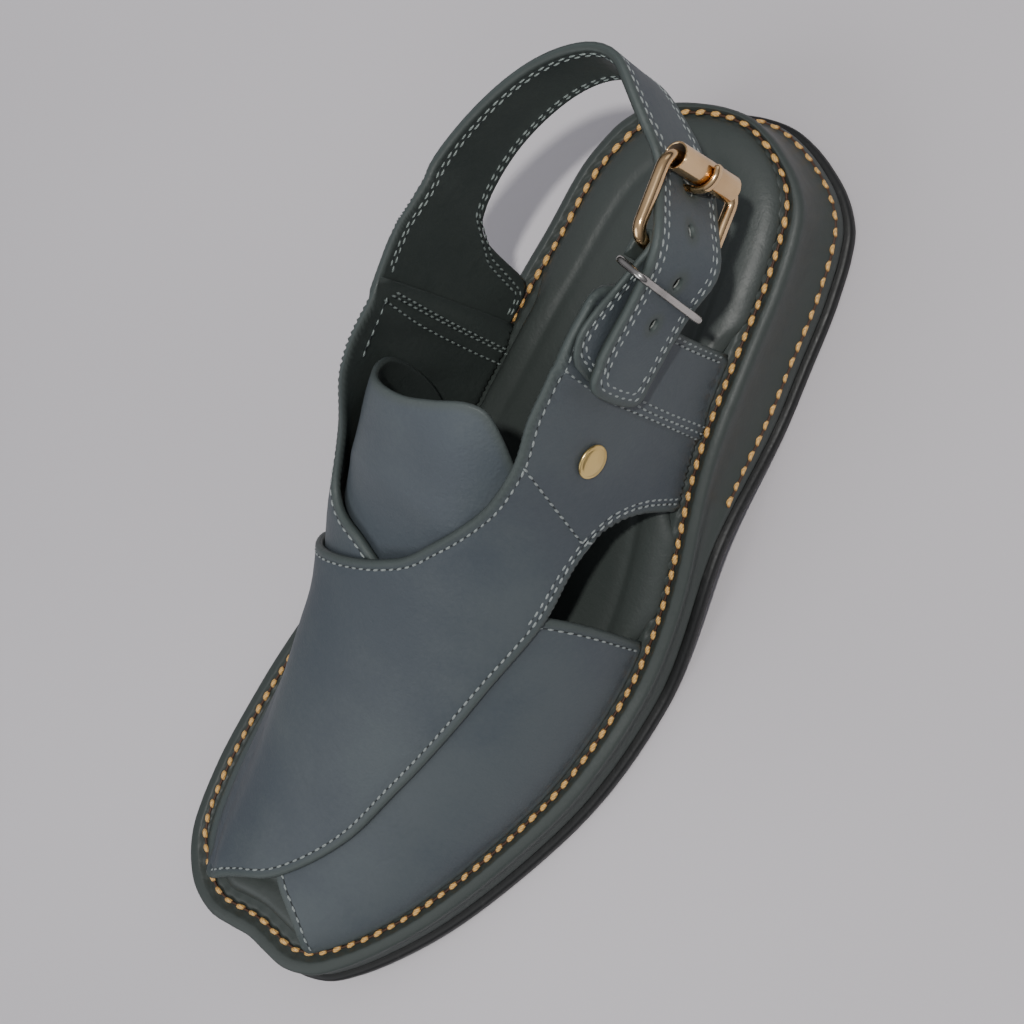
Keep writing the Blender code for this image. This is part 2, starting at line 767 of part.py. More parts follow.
def make_tongue():
    outline = curve_through(np.array(TONGUE_EDGE) * (STITCH_LENGTH, AROUND_SCALE), closed=True)
    outline = spaced(outline, 52, closed=True)
    chart, tris, owners = triangulated((outline,), SKIN_SPACING, lambda point: inside(point, outline))
    faces = [tri for tri, owner in zip(tris, owners) if 0 in owner]
    along, around = chart[:, 0] / STITCH_LENGTH, chart[:, 1] / AROUND_SCALE
    inner = lifted(tongue_base, along, around, 0.0)
    outer = lifted(tongue_base, along, around, TONGUE_WALL)
    return sheet_of("tongue", inner, outer, faces, (0.075, 0.090, 0.100), 0.6)


def quarter_point(along, height):
    """The medial quarter's inner face, on the upper at its front and level with the strap at its back."""
    around = np.linspace(-1.0, -0.15, 60)
    wall = on_last(np.full(60, along), around, WALL + 1.4 * GAP)
    share = smooth((along - 0.71) / 0.11)
    across = np.interp(height, wall[:, 2], wall[:, 0])
    return np.array([across * (1 - share) + QUARTER_END * share, y_at(along), height])


def strap_grid():
    """The heel strap's inner face as stations along it, each a row of points from its lower edge up."""
    shares = np.linspace(0, 1, STRAP_ROWS)
    stations = []
    for along, low, along_up, high in QUARTER_ROWS:
        low = max(low * STRAP_TOP, float(platform_top(y_at(along))) + GAP)
        stations.append(
            [
                quarter_point(along + share * (along_up - along), low + share * (high * STRAP_TOP - low))
                for share in shares
            ]
        )
    for across, along, height, lean_across, lean_along, width in STRAP_COURSE:
        middle = np.array([across * STITCH_HALF_WIDTH, y_at(along), height * STRAP_TOP])
        lean = np.array([lean_across, lean_along, math.sqrt(1 - lean_across**2 - lean_along**2)])
        stations.append([middle + lean * STRAP_WIDTH * width * (share - 0.5) for share in shares])
    for along, around_low, around_up in TIP_ROWS:
        around = around_low + shares * (around_up - around_low)
        stations.append(list(on_last(np.full(STRAP_ROWS, along), around, TIP_LIFT)))
    stations = np.array(stations)
    rows = stations.reshape(len(stations), -1)
    flat = np.concatenate([rows[:QUARTER_STRAIGHT], curve_through(rows[QUARTER_STRAIGHT:], steps=6)])
    return flat.reshape(len(flat), STRAP_ROWS, 3)


def grid_normals(grid):
    """Unit normals of a grid of points, pointing away from the foot."""
    along = np.gradient(grid, axis=0)
    across = np.gradient(grid, axis=1)
    normal = np.cross(across, along)
    normal /= np.linalg.norm(normal, axis=2, keepdims=True)
    return normal


def from_grid(grid, run, width, place):
    """The point of a grid at a chart place: metres along it and metres up from its middle row."""
    station = np.interp(place[0], run, np.arange(len(run)))
    share = 0.5 + place[1] / np.interp(place[0], run, width)
    row = np.clip(share, 0, 1) * (grid.shape[1] - 1)
    i, k = min(int(station), len(run) - 2), min(int(row), grid.shape[1] - 2)
    u, v = station - i, row - k
    return (
        grid[i, k] * (1 - u) * (1 - v)
        + grid[i + 1, k] * u * (1 - v)
        + grid[i, k + 1] * (1 - u) * v
        + grid[i + 1, k + 1] * u * v
    )


def oval(centre, length, width, count=10):
    angles = np.arange(count) * 2 * math.pi / count
    return np.stack([centre + length / 2 * np.cos(angles), width / 2 * np.sin(angles)], axis=1)


def make_heel_strap():
    """The medial quarter and the strap that leaves it round the heel, one leather, with its holes."""
    grid = STRAP_GRID
    middle = grid[:, STRAP_ROWS // 2]
    run = np.concatenate([[0], np.cumsum(np.linalg.norm(np.diff(middle, axis=0), axis=1))])
    width = np.linalg.norm(np.diff(grid, axis=1), axis=2).sum(axis=1)
    end = run[-1]
    tip = np.array([(end - 0.006, -0.5), (end - 0.0015, -0.44), (end, -0.30), (end, 0.30), (end - 0.0015, 0.44), (end - 0.006, 0.5)])
    tip[:, 1] *= width[-1]
    body = run < end - 0.007
    low_edge = np.stack([run[body], -width[body] / 2], axis=1)
    high_edge = np.stack([run[body], width[body] / 2], axis=1)[::-1]
    step = 0.0055
    outline = joined(
        spaced(np.concatenate([low_edge, tip[:1]]), round(end / step)),
        spaced(tip, 10),
        spaced(np.concatenate([tip[-1:], high_edge]), round(end / step)),
        spaced(np.array([high_edge[-1], low_edge[0]]), round(width[0] / step)),
    )
    through = buckle_point(BUCKLE_REACH + PRONG_THROUGH[0], 0, PRONG_THROUGH[1])
    pierced = run[int(np.argmin(np.linalg.norm(middle - through, axis=1)))]
    holes = [oval(pierced, PRONG_HOLE_LENGTH, PRONG_HOLE_WIDTH)]
    holes += [oval(pierced + HOLE_PITCH * i, HOLE_DIAMETER * 1.2, HOLE_DIAMETER, 8) for i in (1, 2, 3)]
    chart, tris, owners = triangulated(
        [outline] + holes,
        step * 1.15,
        lambda point: inside(point, outline) and not any(inside(point, hole) for hole in holes),
    )
    faces = [tri for tri, owner in zip(tris, owners) if owner == {0}]
    inner = np.array([from_grid(grid, run, width, place) for place in chart])
    lift = np.array([from_grid(STRAP_NORMALS, run, width, place) for place in chart])
    outer = inner + STRAP_WALL * lift
    return sheet_of("heel_strap", inner, outer, faces, (0.075, 0.090, 0.105), 0.6)


def strap_axes(row):
    """Unit vectors of the heel strap at one of its rows: up its width, and outwards."""
    upwards = STRAP_GRID[int(row), -1] - STRAP_GRID[int(row), 0]
    return upwards / np.linalg.norm(upwards), STRAP_NORMALS[int(row), STRAP_ROWS // 2]


def strap_seat(row, out, up):
    """A point beside the heel strap, in the columns of HINGE_SEAT."""
    low = int(row)
    upwards, outwards = strap_axes(row)
    middle = STRAP_GRID[:, STRAP_ROWS // 2]
    return middle[low] + (row - low) * (middle[low + 1] - middle[low]) + out * outwards + up * upwards


STRAP_GRID = strap_grid()
STRAP_NORMALS = grid_normals(STRAP_GRID)
HINGE = strap_seat(*HINGE_SEAT)
ROLLER = strap_seat(*ROLLER_SEAT)
BUCKLE_REACH = float(np.linalg.norm(ROLLER - HINGE))


def buckle_axes():
    """Unit vectors of the buckle: from the hinge to the roller, up its width, and outwards."""
    length = (ROLLER - HINGE) / BUCKLE_REACH
    up = strap_axes(HINGE_SEAT[0])[0]
    up = up - np.dot(up, length) * length
    up /= np.linalg.norm(up)
    return length, up, np.cross(length, up)


def buckle_point(along, up, out):
    """A point in the buckle's own axes, from the middle of its hinge."""
    length, width, outwards = buckle_axes()
    return HINGE + along * length + up * width + out * outwards


def chape_grid():
    """The chape's inner face as stations along it, each a row of points from its upper edge down."""
    shares = np.linspace(0.5, -0.5, 7)
    stations = []
    for along, upper, lower in CHAPE_ROWS:
        around = (upper + lower) / 2 + (upper - lower) * shares
        stations.append(on_last(np.full(7, along), around, WALL + SEAM_RISE + GAP))
    radius = BUCKLE_WIRE / 2 + 1.6 * GAP
    at_hinge = np.array([buckle_point(0, CHAPE_WIDTH * share, radius) for share in shares])
    stations.append((stations[-1] + at_hinge) / 2)
    for turn in np.linspace(-8, 188, 9):
        angle = math.radians(turn)
        stations.append(
            [
                buckle_point(radius * math.sin(angle), CHAPE_WIDTH * share, radius * math.cos(angle))
                for share in shares
            ]
        )
    for back, out, width in CHAPE_RETURN:
        stations.append([buckle_point(-back, CHAPE_WIDTH * share * width, -out) for share in shares])
    return np.array(stations)


def make_chape():
    """The thin strap that holds the buckle: sewn to the quarter, round the hinge and back inside it."""
    grid = chape_grid()
    outer = grid + CHAPE_WALL * grid_normals(grid)
    first_wrapped = len(CHAPE_ROWS) + 1
    faces = []
    for i in range(len(grid) - 1):
        for k in range(6):
            slotted = first_wrapped - 1 <= i < first_wrapped + 9 and k in (2, 3)
            if not slotted:
                faces.append((i * 7 + k, (i + 1) * 7 + k, (i + 1) * 7 + k + 1, i * 7 + k + 1))
    return sheet_of(
        "buckle_strap", grid.reshape(-1, 3), outer.reshape(-1, 3), faces, (0.075, 0.090, 0.105), 0.6
    )


def swept(name, path, half_out, half_side, side, segments, colour, closed=False):
    """A bar along a path with an oval section; side is the direction that half_side is measured along."""
    path = np.array(path, float)
    if closed:
        ahead = np.roll(path, -1, axis=0) - np.roll(path, 1, axis=0)
    else:
        ahead = np.gradient(path, axis=0)
    ahead /= np.linalg.norm(ahead, axis=1, keepdims=True)
    side = np.broadcast_to(side, path.shape)
    out = np.cross(side, ahead)
    out /= np.linalg.norm(out, axis=1, keepdims=True)
    across = np.cross(ahead, out)
    half_out = np.broadcast_to(half_out, len(path))
    half_side = np.broadcast_to(half_side, len(path))
    angles = (np.arange(segments) + 0.5) * 2 * math.pi / segments
    made = bmesh.new()
    rings = [
        [
            made.verts.new(
                path[i] + out[i] * half_out[i] * math.cos(a) + across[i] * half_side[i] * math.sin(a)
            )
            for a in angles
        ]
        for i in range(len(path))
    ]
    for i in range(len(rings) if closed else len(rings) - 1):
        one, two = rings[i], rings[(i + 1) % len(rings)]
        for k in range(segments):
            n = (k + 1) % segments
            made.faces.new((one[k], one[n], two[n], two[k]))
    if not closed:
        made.faces.new(rings[0][::-1])
        made.faces.new(rings[-1])
    return finish(name, made, colour, 0.3, 1.0)


def rounded_loop(length, width, radius, corner_steps=4):
    """A rectangle with round corners as (along, across) points about its middle."""
    loop = []
    for turn, sign_along, sign_across in ((0, 1, 1), (90, -1, 1), (180, -1, -1), (270, 1, -1)):
        for step in range(corner_steps + 1):
            angle = math.radians(turn + 90 * step / corner_steps)
            loop.append(
                (
                    sign_along * (length / 2 - radius) + radius * math.cos(angle),
                    sign_across * (width / 2 - radius) + radius * math.sin(angle),
                )
            )
    return loop


def make_buckle_frame():
    loop = rounded_loop(BUCKLE_REACH, BUCKLE_WIDTH + BUCKLE_WIRE, 0.0042)
    path = [buckle_point(along + BUCKLE_REACH / 2, across, 0) for along, across in loop]
    half = BUCKLE_WIRE / 2
    return swept("buckle_frame", path, half, half, buckle_axes()[2], 10, (0.80, 0.50, 0.34), True)


def make_buckle_roller():
    """A tube that turns on the frame's free bar."""
    made = bmesh.new()
    length, up, out = buckle_axes()
    segments = 20
    reach = BUCKLE_WIDTH / 2 - 0.0012
    outer, inner = ROLLER_DIAMETER / 2, ROLLER_DIAMETER / 2 - ROLLER_WALL
    rings = []
    for radius, at in (
        (inner, -reach),
        (outer - 0.0003, -reach),
        (outer, -reach + 0.0003),
        (outer, reach - 0.0003),
        (outer - 0.0003, reach),
        (inner, reach),
    ):
        rings.append(
            [
                made.verts.new(
                    ROLLER + up * at + radius * (length * math.cos(a) + out * math.sin(a))
                )
                for a in np.arange(segments) * 2 * math.pi / segments
            ]
        )
    for one, two in zip(rings, rings[1:] + rings[:1]):
        for k in range(segments):
            n = (k + 1) % segments
            made.faces.new((one[k], one[n], two[n], two[k]))
    return finish("buckle_roller", made, (0.80, 0.50, 0.34), 0.3, 1.0)


def make_buckle_prong():
    """Curled round the hinge, through the strap's hole and out over the roller."""
    curl = BUCKLE_WIRE / 2 + GAP + PRONG_THICKNESS / 2
    turns = np.radians(np.arange(-250, 91, 24))
    path = [(curl * math.sin(turn), curl * math.cos(turn)) for turn in turns]
    path += [(share * BUCKLE_REACH + on, out) for share, on, out in PRONG_ARM]
    points = [buckle_point(along, 0, out) for along, out in path]
    half_out, half_side = PRONG_THICKNESS / 2, PRONG_WIDTH / 2
    return swept("buckle_prong", points, half_out, half_side, buckle_axes()[1], 8, (0.80, 0.50, 0.34))


def crossings(grid, at, ahead):
    """Where the lines along a grid cross the plane through a point, near that point."""
    height = (grid - at) @ ahead
    found = []
    for i, k in zip(*np.nonzero(height[:-1] * height[1:] < 0)):
        share = height[i, k] / (height[i, k] - height[i + 1, k])
        point = grid[i, k] + share * (grid[i + 1, k] - grid[i, k])
        if np.linalg.norm(point - at) < STRAP_WIDTH:
            found.append(point)
    return found


def make_keeper():
    """A wire loop round the strap and the chape, made to fit what it holds."""
    up, out = strap_axes(KEEPER_ROW)
    ahead = np.cross(up, out) + KEEPER_TILT[0] * out + KEEPER_TILT[1] * up
    ahead /= np.linalg.norm(ahead)
    up = buckle_axes()[1]
    up = up - np.dot(up, ahead) * ahead
    up /= np.linalg.norm(up)
    out = np.cross(ahead, up)
    at = strap_seat(KEEPER_ROW, 0, 0)
    chape = chape_grid()
    held = []
    for grid, wall in ((STRAP_GRID, STRAP_WALL), (chape, CHAPE_WALL)):
        for face in (grid, grid + wall * grid_normals(grid)):
            held += crossings(face, at, ahead)
    depths, heights = (np.array(held) - at) @ out, (np.array(held) - at) @ up
    room = KEEPER_WIRE + 2 * KEEPER_SLACK
    loop = rounded_loop(np.ptp(depths) + room, np.ptp(heights) + room, 0.0026)
    middle = at + out * (depths.max() + depths.min()) / 2 + up * (heights.max() + heights.min()) / 2
    path = [middle + out * depth + up * across for depth, across in loop]
    half = KEEPER_WIRE / 2
    return swept("keeper_loop", path, half, half, ahead, 8, (0.62, 0.62, 0.60), True)


def make_stud():
    """The press stud on the quarter, a shallow dome with a slim rim."""
    base = on_last(STUD_ALONG, STUD_AROUND, WALL + GAP)
    out = base - on_last(STUD_ALONG, STUD_AROUND, 0.0)
    out /= np.linalg.norm(out)
    side = np.cross(out, (0, 0, 1.0))
    side /= np.linalg.norm(side)
    up = np.cross(side, out)
    made = bmesh.new()
    segments = 24
    rings = []
    for share, height in STUD_PROFILE:
        rings.append(
            [
                made.verts.new(
                    base
                    + out * (height * STUD_HEIGHT + 0.0002)
                    + share * STUD_DIAMETER / 2 * (side * math.cos(a) + up * math.sin(a))
                )
                for a in np.arange(segments) * 2 * math.pi / segments
            ]
        )
    for one, two in zip(rings, rings[1:]):
        for k in range(segments):
            n = (k + 1) % segments
            made.faces.new((one[k], one[n], two[n], two[k]))
    made.faces.new(rings[0][::-1])
    made.faces.new(rings[-1])
    return finish("snap_stud", made, (0.62, 0.52, 0.34), 0.35, 1.0)


def clear_scene():
    for old in list(bpy.data.objects):
        bpy.data.objects.remove(old, do_unlink=True)


def stand_on_origin():
    """Moves every piece so that the origin is under the middle of the whole, on the ground."""
    pieces = list(bpy.context.scene.objects)
    points = np.array([vert.co[:] for piece in pieces for vert in piece.data.vertices])
    low, high = points.min(axis=0), points.max(axis=0)
    shift = Vector((-(low[0] + high[0]) / 2, -(low[1] + high[1]) / 2, -low[2]))
    for piece in pieces:
        for vert in piece.data.vertices:
            vert.co += shift


def main():
    clear_scene()
    make_outsole()
    make_midsole()
    make_insole()
    make_upper()
    make_tongue()
    make_heel_strap()
    make_chape()
    make_buckle_frame()
    make_buckle_roller()
    make_buckle_prong()
    make_keeper()
    make_stud()
    stand_on_origin()


main()
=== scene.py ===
# %% [markdown]
# # A cross-strap chappal in blue-grey leather
#
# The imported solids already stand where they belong. This lesson dresses them: each leather piece is built
# again on the same surfaces with rounded edges, grooves and seams, the rows of thread are sewn by Geometry
# Nodes, and every finish is worked out in its own shader. Lengths are in metres, the toe points to -Y and
# the outer side of this left shoe to +X.

# %% Load the frame
import math

import bmesh
import bpy
import numpy as np
from mathutils import Matrix, Vector
from mathutils.geometry import delaunay_2d_cdt


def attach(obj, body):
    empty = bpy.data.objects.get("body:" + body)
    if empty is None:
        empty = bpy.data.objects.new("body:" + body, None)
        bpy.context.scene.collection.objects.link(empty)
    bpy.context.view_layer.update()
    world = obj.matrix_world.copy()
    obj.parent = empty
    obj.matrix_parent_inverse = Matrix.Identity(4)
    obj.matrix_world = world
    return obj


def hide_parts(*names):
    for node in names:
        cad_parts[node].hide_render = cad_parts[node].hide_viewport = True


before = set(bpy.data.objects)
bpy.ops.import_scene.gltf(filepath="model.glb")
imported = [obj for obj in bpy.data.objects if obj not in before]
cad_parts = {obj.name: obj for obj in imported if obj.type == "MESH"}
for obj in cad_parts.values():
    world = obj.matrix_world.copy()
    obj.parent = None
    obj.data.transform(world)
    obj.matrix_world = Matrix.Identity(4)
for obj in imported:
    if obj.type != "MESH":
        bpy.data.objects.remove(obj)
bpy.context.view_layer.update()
for name in ("Cube", "Light", "Camera"):
    if name in bpy.data.objects:
        bpy.data.objects.remove(bpy.data.objects[name], do_unlink=True)
print("nodes:", ", ".join(sorted(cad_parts)))

# %% [markdown]
# ## The shoe's sizes
#
# A shoemaker starts from the last and from the stitch row that runs round the sole. The same named sizes and
# tables that shaped the solids are written here, so that a seam or a stitch lands exactly on its leather.
# Columns of the tables are shares of those sizes. The tongue's edge is drawn a little wider than the solid's.

# %% Named sizes
STITCH_LENGTH = 0.2775
STITCH_HALF_WIDTH = 0.051
PLATFORM_AT_BALL = 0.014
PLATFORM_AT_HEEL = 0.032
TOE_SPRING = 0.006
ARCH_RISE = 0.009
OUTSOLE_THICKNESS = 0.004
INSOLE_THICKNESS = 0.0030
RIM_WIDTH = 0.006
TOE_EXTRA = 0.0010
HEEL_TRIM = 0.0032
WALL = 0.0026
INSTEP_HEIGHT = 0.072
SEAM_RISE = 0.0010
SEAM_FADE = 0.009
TONGUE_WALL = 0.0020
TONGUE_GAP = 0.0015
GAP = 0.0003
UPPER_INSET = 0.0012
MEDIAL_BULGE = 0.0056
INSOLE_INSET = UPPER_INSET + WALL + 2 * GAP
STRAP_WALL = 0.0026
STRAP_WIDTH = 0.0255
STRAP_TOP = 0.1125
STRAP_ROWS = 9
HOLE_PITCH = 0.0124
CHAPE_WALL = 0.0016
CHAPE_WIDTH = 0.0240
TIP_LIFT = WALL + SEAM_RISE + GAP + CHAPE_WALL + GAP
BUCKLE_WIRE = 0.0034
BUCKLE_WIDTH = 0.0266
ROLLER_DIAMETER = 0.0074
ROLLER_WALL = 0.0009
PRONG_THICKNESS = 0.0014
PRONG_HALF_DEPTH, PRONG_HALF_WIDTH = 0.00098, 0.00138
PRONG_THROUGH = (-0.0051, -0.0036)
KEEPER_WIRE = 0.0021
STUD_DIAMETER = 0.0098
STUD_HEIGHT = 0.0016
STUD_ALONG = 0.6586
STUD_AROUND = 0.67
HINGE = np.array((0.03443, 0.10074, 0.09257))
ROLLER = np.array((0.02956, 0.12294, 0.09029))
BUCKLE_REACH = 0.02284
BUCKLE_UP = (-0.2534, 0.0440, 0.9664)
KEEPER_MIDDLE = np.array((0.03641, 0.09219, 0.09206))
KEEPER_AHEAD = (0.1183, 0.9870, -0.1091)
KEEPER_UP = (-0.2436, 0.1354, 0.9604)
KEEPER_DEPTH, KEEPER_WIDTH = 0.0106, 0.0290
RING_POINTS = 88
SKIN_SPACING = 0.0026
AROUND_SCALE = 0.06
TOE_Y = -STITCH_LENGTH / 2
SHIFT = np.array((-0.00062234, 0.00176086, 0.0))
print("stitch row:", round(STITCH_LENGTH * 1000), "x", round(STITCH_HALF_WIDTH * 2000), "mm")

# %% Tables of the sole and the last
SIDES = (
    (0.035, 0.30, -0.84),
    (0.10, 0.53, -0.955),
    (0.20, 0.76, -0.985),
    (0.32, 0.955, -0.935),
    (0.43, 1.01, -0.84),
    (0.55, 0.965, -0.72),
    (0.68, 0.82, -0.62),
    (0.80, 0.715, -0.595),
    (0.90, 0.62, -0.58),
    (0.965, 0.475, -0.415),
)
TOE_END = ((0.004, 0.10), (0.004, -0.25), (-0.002, -0.58))
HEEL_END = (1.0, 0.06)
SECTIONS = (
    (0.00, 0.11, -0.10, 2.0, 2.0),
    (0.10, 0.19, -0.12, 2.0, 2.0),
    (0.22, 0.35, -0.15, 2.0, 2.2),
    (0.34, 0.54, -0.20, 2.0, 2.6),
    (0.45, 0.75, -0.22, 2.0, 3.1),
    (0.55, 1.00, -0.22, 2.0, 3.5),
    (0.65, 1.36, -0.20, 2.0, 3.8),
    (0.80, 1.64, -0.10, 2.1, 3.8),
    (1.00, 1.70, 0.00, 2.6, 3.2),
)
TONGUE_CROWN = ((0.44, 0.80), (0.50, 0.86), (0.56, 0.94), (0.62, 1.02), (0.72, 1.05))
print("sections of the last:", len(SECTIONS))

# %% Tables of the strap edges
TOP_STRAP_FRONT = (
    (0.018, -1.0),
    (0.016, -0.5),
    (0.040, -0.10),
    (0.065, 0.11),
    (0.097, 0.21),
    (0.162, 0.31),
    (0.249, 0.36),
    (0.335, 0.41),
    (0.422, 0.47),
    (0.494, 0.55),
    (0.555, 0.63),
    (0.602, 0.75),
    (0.623, 0.86),
    (0.634, 1.0),
)
QUARTER_BACK = (
    (0.796, 1.0),
    (0.797, 0.90),
    (0.799, 0.826),
    (0.805, 0.75),
    (0.814, 0.69),
    (0.818, 0.635),
    (0.806, 0.590),
    (0.780, 0.570),
    (0.751, 0.552),
)
TOP_STRAP_THROAT = (
    (0.751, 0.552),
    (0.709, 0.527),
    (0.672, 0.496),
    (0.631, 0.465),
    (0.591, 0.39),
    (0.548, 0.27),
    (0.512, 0.16),
    (0.479, 0.05),
    (0.447, -0.17),
    (0.430, -0.37),
    (0.425, -0.52),
    (0.434, -0.76),
    (0.454, -1.0),
)
UNDER_STRAP_TOE = ((0.097, 0.02), (0.068, 0.14), (0.047, 0.32), (0.022, 0.67), (0.014, 1.0))
UNDER_STRAP_BACK = (
    (0.497, 1.0),
    (0.500, 0.74),
    (0.492, 0.55),
    (0.462, 0.33),
    (0.440, 0.12),
    (0.450, -0.02),
    (0.466, -0.18),
    (0.476, -0.32),
    (0.495, -0.415),
    (0.540, -0.465),
    (0.595, -0.505),
    (0.627, -0.542),
    (0.663, -0.580),
    (0.706, -0.618),
)
UNDER_STRAP_FRONT = (
    (0.602, -1.0),
    (0.588, -0.92),
    (0.555, -0.82),
    (0.515, -0.72),
    (0.470, -0.64),
    (0.425, -0.56),
    (0.370, -0.42),
    (0.280, -0.25),
    (0.180, -0.12),
    (0.097, 0.02),
)
SEAM_FRONT = ((0.708, 1.04), (0.712, 0.82), (0.717, 0.68), (0.727, 0.50))
TONGUE_EDGE = (
    (0.600, -0.84),
    (0.626, -0.72),
    (0.636, -0.56),
    (0.622, -0.38),
    (0.624, -0.17),
    (0.637, 0.0),
    (0.655, 0.18),
    (0.656, 0.26),
    (0.640, 0.34),
    (0.600, 0.44),
    (0.550, 0.50),
    (0.490, 0.48),
    (0.430, 0.36),
    (0.385, 0.18),
    (0.372, -0.04),
    (0.385, -0.28),
    (0.420, -0.52),
    (0.480, -0.72),
    (0.550, -0.86),
)
print("points round the tongue:", len(TONGUE_EDGE))

# %% Tables of the heel strap and the small strap
QUARTER_ROWS = (
    (0.680, 0.0, 0.680, 0.850),
    (0.709, 0.0, 0.709, 0.878),
    (0.738, 0.0, 0.738, 0.908),
    (0.751, 0.0, 0.752, 0.920),
    (0.7575, 0.36, 0.760, 0.928),
    (0.768, 0.49, 0.772, 0.930),
    (0.779, 0.585, 0.788, 0.932),
    (0.797, 0.640, 0.812, 0.934),
)
QUARTER_STRAIGHT = 3
STRAP_COURSE = (
    (-0.604, 0.8261, 0.804, -0.054, -0.030, 1.16),
    (-0.543, 0.8827, 0.818, -0.010, 0.020, 1.10),
    (-0.376, 0.9476, 0.831, 0.000, 0.030, 1.05),
    (-0.163, 0.9829, 0.840, 0.030, 0.080, 1.0),
    (0.000, 0.9872, 0.844, 0.000, 0.080, 1.0),
    (0.118, 0.9782, 0.844, -0.040, 0.000, 1.0),
    (0.267, 0.9609, 0.831, -0.085, -0.050, 1.0),
    (0.352, 0.9500, 0.820, -0.110, -0.060, 1.0),
    (0.479, 0.9277, 0.791, -0.250, 0.060, 1.0),
    (0.616, 0.8978, 0.811, -0.250, 0.060, 0.99),
    (0.755, 0.8679, 0.832, -0.250, 0.040, 0.98),
    (0.730, 0.8310, 0.811, -0.190, 0.010, 0.95),
)
QUARTER_END = STRAP_COURSE[0][0] * STITCH_HALF_WIDTH
TIP_ROWS = ((0.762, 0.752, 0.605), (0.742, 0.743, 0.598), (0.725, 0.737, 0.592), (0.7185, 0.734, 0.590))
CHAPE_ROWS = (
    (0.729, 0.604, 0.658),
    (0.732, 0.582, 0.680),
    (0.738, 0.566, 0.697),
    (0.748, 0.557, 0.705),
    (0.765, 0.556, 0.708),
    (0.785, 0.572, 0.718),
    (0.800, 0.588, 0.730),
    (0.816, 0.606, 0.744),
)
CHAPE_RETURN = ((0.0028, 0.0026, 1.0), (0.0048, 0.0034, 0.98))
PRONG_ARM = (
    (0.0, 0.0044, -0.0012),
    (0.36, 0.0, -0.0019),
    (0.54, 0.0, -0.0036),
    (1.0, -0.0073, -0.0052),
    (1.0, -0.0061, -0.0056),
    (1.0, -0.0054, -0.0048),
    (1.0, -0.0049, -0.0032),
    (1.0, -0.00485, -0.0014),
    (1.0, -0.0048, 0.0003),
    (1.0, -0.0041, 0.0026),
    (1.0, -0.0025, 0.0042),
    (1.0, -0.0001, 0.0049),
    (1.0, 0.0017, 0.0045),
    (1.0, 0.0026, 0.0038),
)
print("stations of the heel strap:", len(QUARTER_ROWS) + len(STRAP_COURSE) + len(TIP_ROWS))

# %% [markdown]
# ## Curves and outlines
#
# One curve passes smoothly through each short table, and another function spaces its points evenly. They
# are plain numpy, because the same curve is read many times and never drawn itself.

# %% Curves
def smooth(value):
    """0 to 1 with level ends, for values outside 0 to 1 too."""
    value = np.clip(value, 0.0, 1.0)
    return value * value * (3 - 2 * value)


def curve_through(points, closed=False, steps=12):
    """A smooth curve through the points, with any number of coordinates each."""
    points = np.array(points, float)
    count = len(points)
    if closed:
        near = np.array([[points[(i + k - 1) % count] for k in range(4)] for i in range(count)])
    else:
        before = 2 * points[0] - points[1]
        after = 2 * points[-1] - points[-2]
        points = np.concatenate([[before], points, [after]])
        near = np.array([points[i : i + 4] for i in range(count - 1)])
    found = []
    for first, start, end, last_one in near:
        pairs = ((first, start), (start, end), (end, last_one))
        spans = [math.sqrt(max(math.dist(a, b), 1e-12)) for a, b in pairs]
        leave = _slope(first, start, end, spans[0], spans[1])
        arrive = _slope(start, end, last_one, spans[1], spans[2])
        for t in np.arange(steps) / steps:
            found.append(
                (2 * t**3 - 3 * t**2 + 1) * start
                + (t**3 - 2 * t**2 + t) * spans[1] * leave
                + (3 * t**2 - 2 * t**3) * end
                + (t**3 - t**2) * spans[1] * arrive
            )
    if not closed:
        found.append(points[-2])
    return np.array(found)


def _slope(before, here, after, span_before, span_after):
    """The curve's speed at a point whose neighbours lie at uneven spans."""
    return (
        (here - before) / span_before
        - (after - before) / (span_before + span_after)
        + (after - here) / span_after
    )


def spaced(points, count, closed=False):
    """The same polyline with evenly spaced points."""
    points = np.array(points, float)
    if closed:
        points = np.concatenate([points, points[:1]])
    steps = np.linalg.norm(np.diff(points, axis=0), axis=1)
    run = np.concatenate([[0], np.cumsum(steps)])
    wanted = np.linspace(0, run[-1], count, endpoint=not closed)
    return np.stack([np.interp(wanted, run, points[:, i]) for i in range(points.shape[1])], axis=1)

# %% The stitch row and the sole's heights
def y_at(along):
    return TOE_Y + along * STITCH_LENGTH


def along_at(y):
    return (np.asarray(y) - TOE_Y) / STITCH_LENGTH


def stitch_outline():
    """The stitch row seen from above, from the heel back round the lateral side."""
    lateral = [(side * STITCH_HALF_WIDTH, y_at(along)) for along, side, _ in reversed(SIDES)]
    medial = [(side * STITCH_HALF_WIDTH, y_at(along)) for along, _, side in SIDES]
    toe = [(across * STITCH_HALF_WIDTH, y_at(along)) for along, across in TOE_END]
    heel = (HEEL_END[1] * STITCH_HALF_WIDTH, y_at(HEEL_END[0]))
    return curve_through([heel] + lateral + toe + medial, closed=True)


OUTLINE = stitch_outline()
RING = spaced(OUTLINE, RING_POINTS, closed=True)
TOE_INDEX = int(np.argmin(np.abs(OUTLINE[:, 0] + 0.4 * STITCH_HALF_WIDTH) + (OUTLINE[:, 1] > 0)))
LATERAL_SIDE = OUTLINE[: TOE_INDEX + 1]
MEDIAL_SIDE = np.concatenate([OUTLINE[TOE_INDEX:], OUTLINE[:1]])
SECTION_CURVE = curve_through(SECTIONS)
TONGUE_CURVE = curve_through(TONGUE_CROWN)


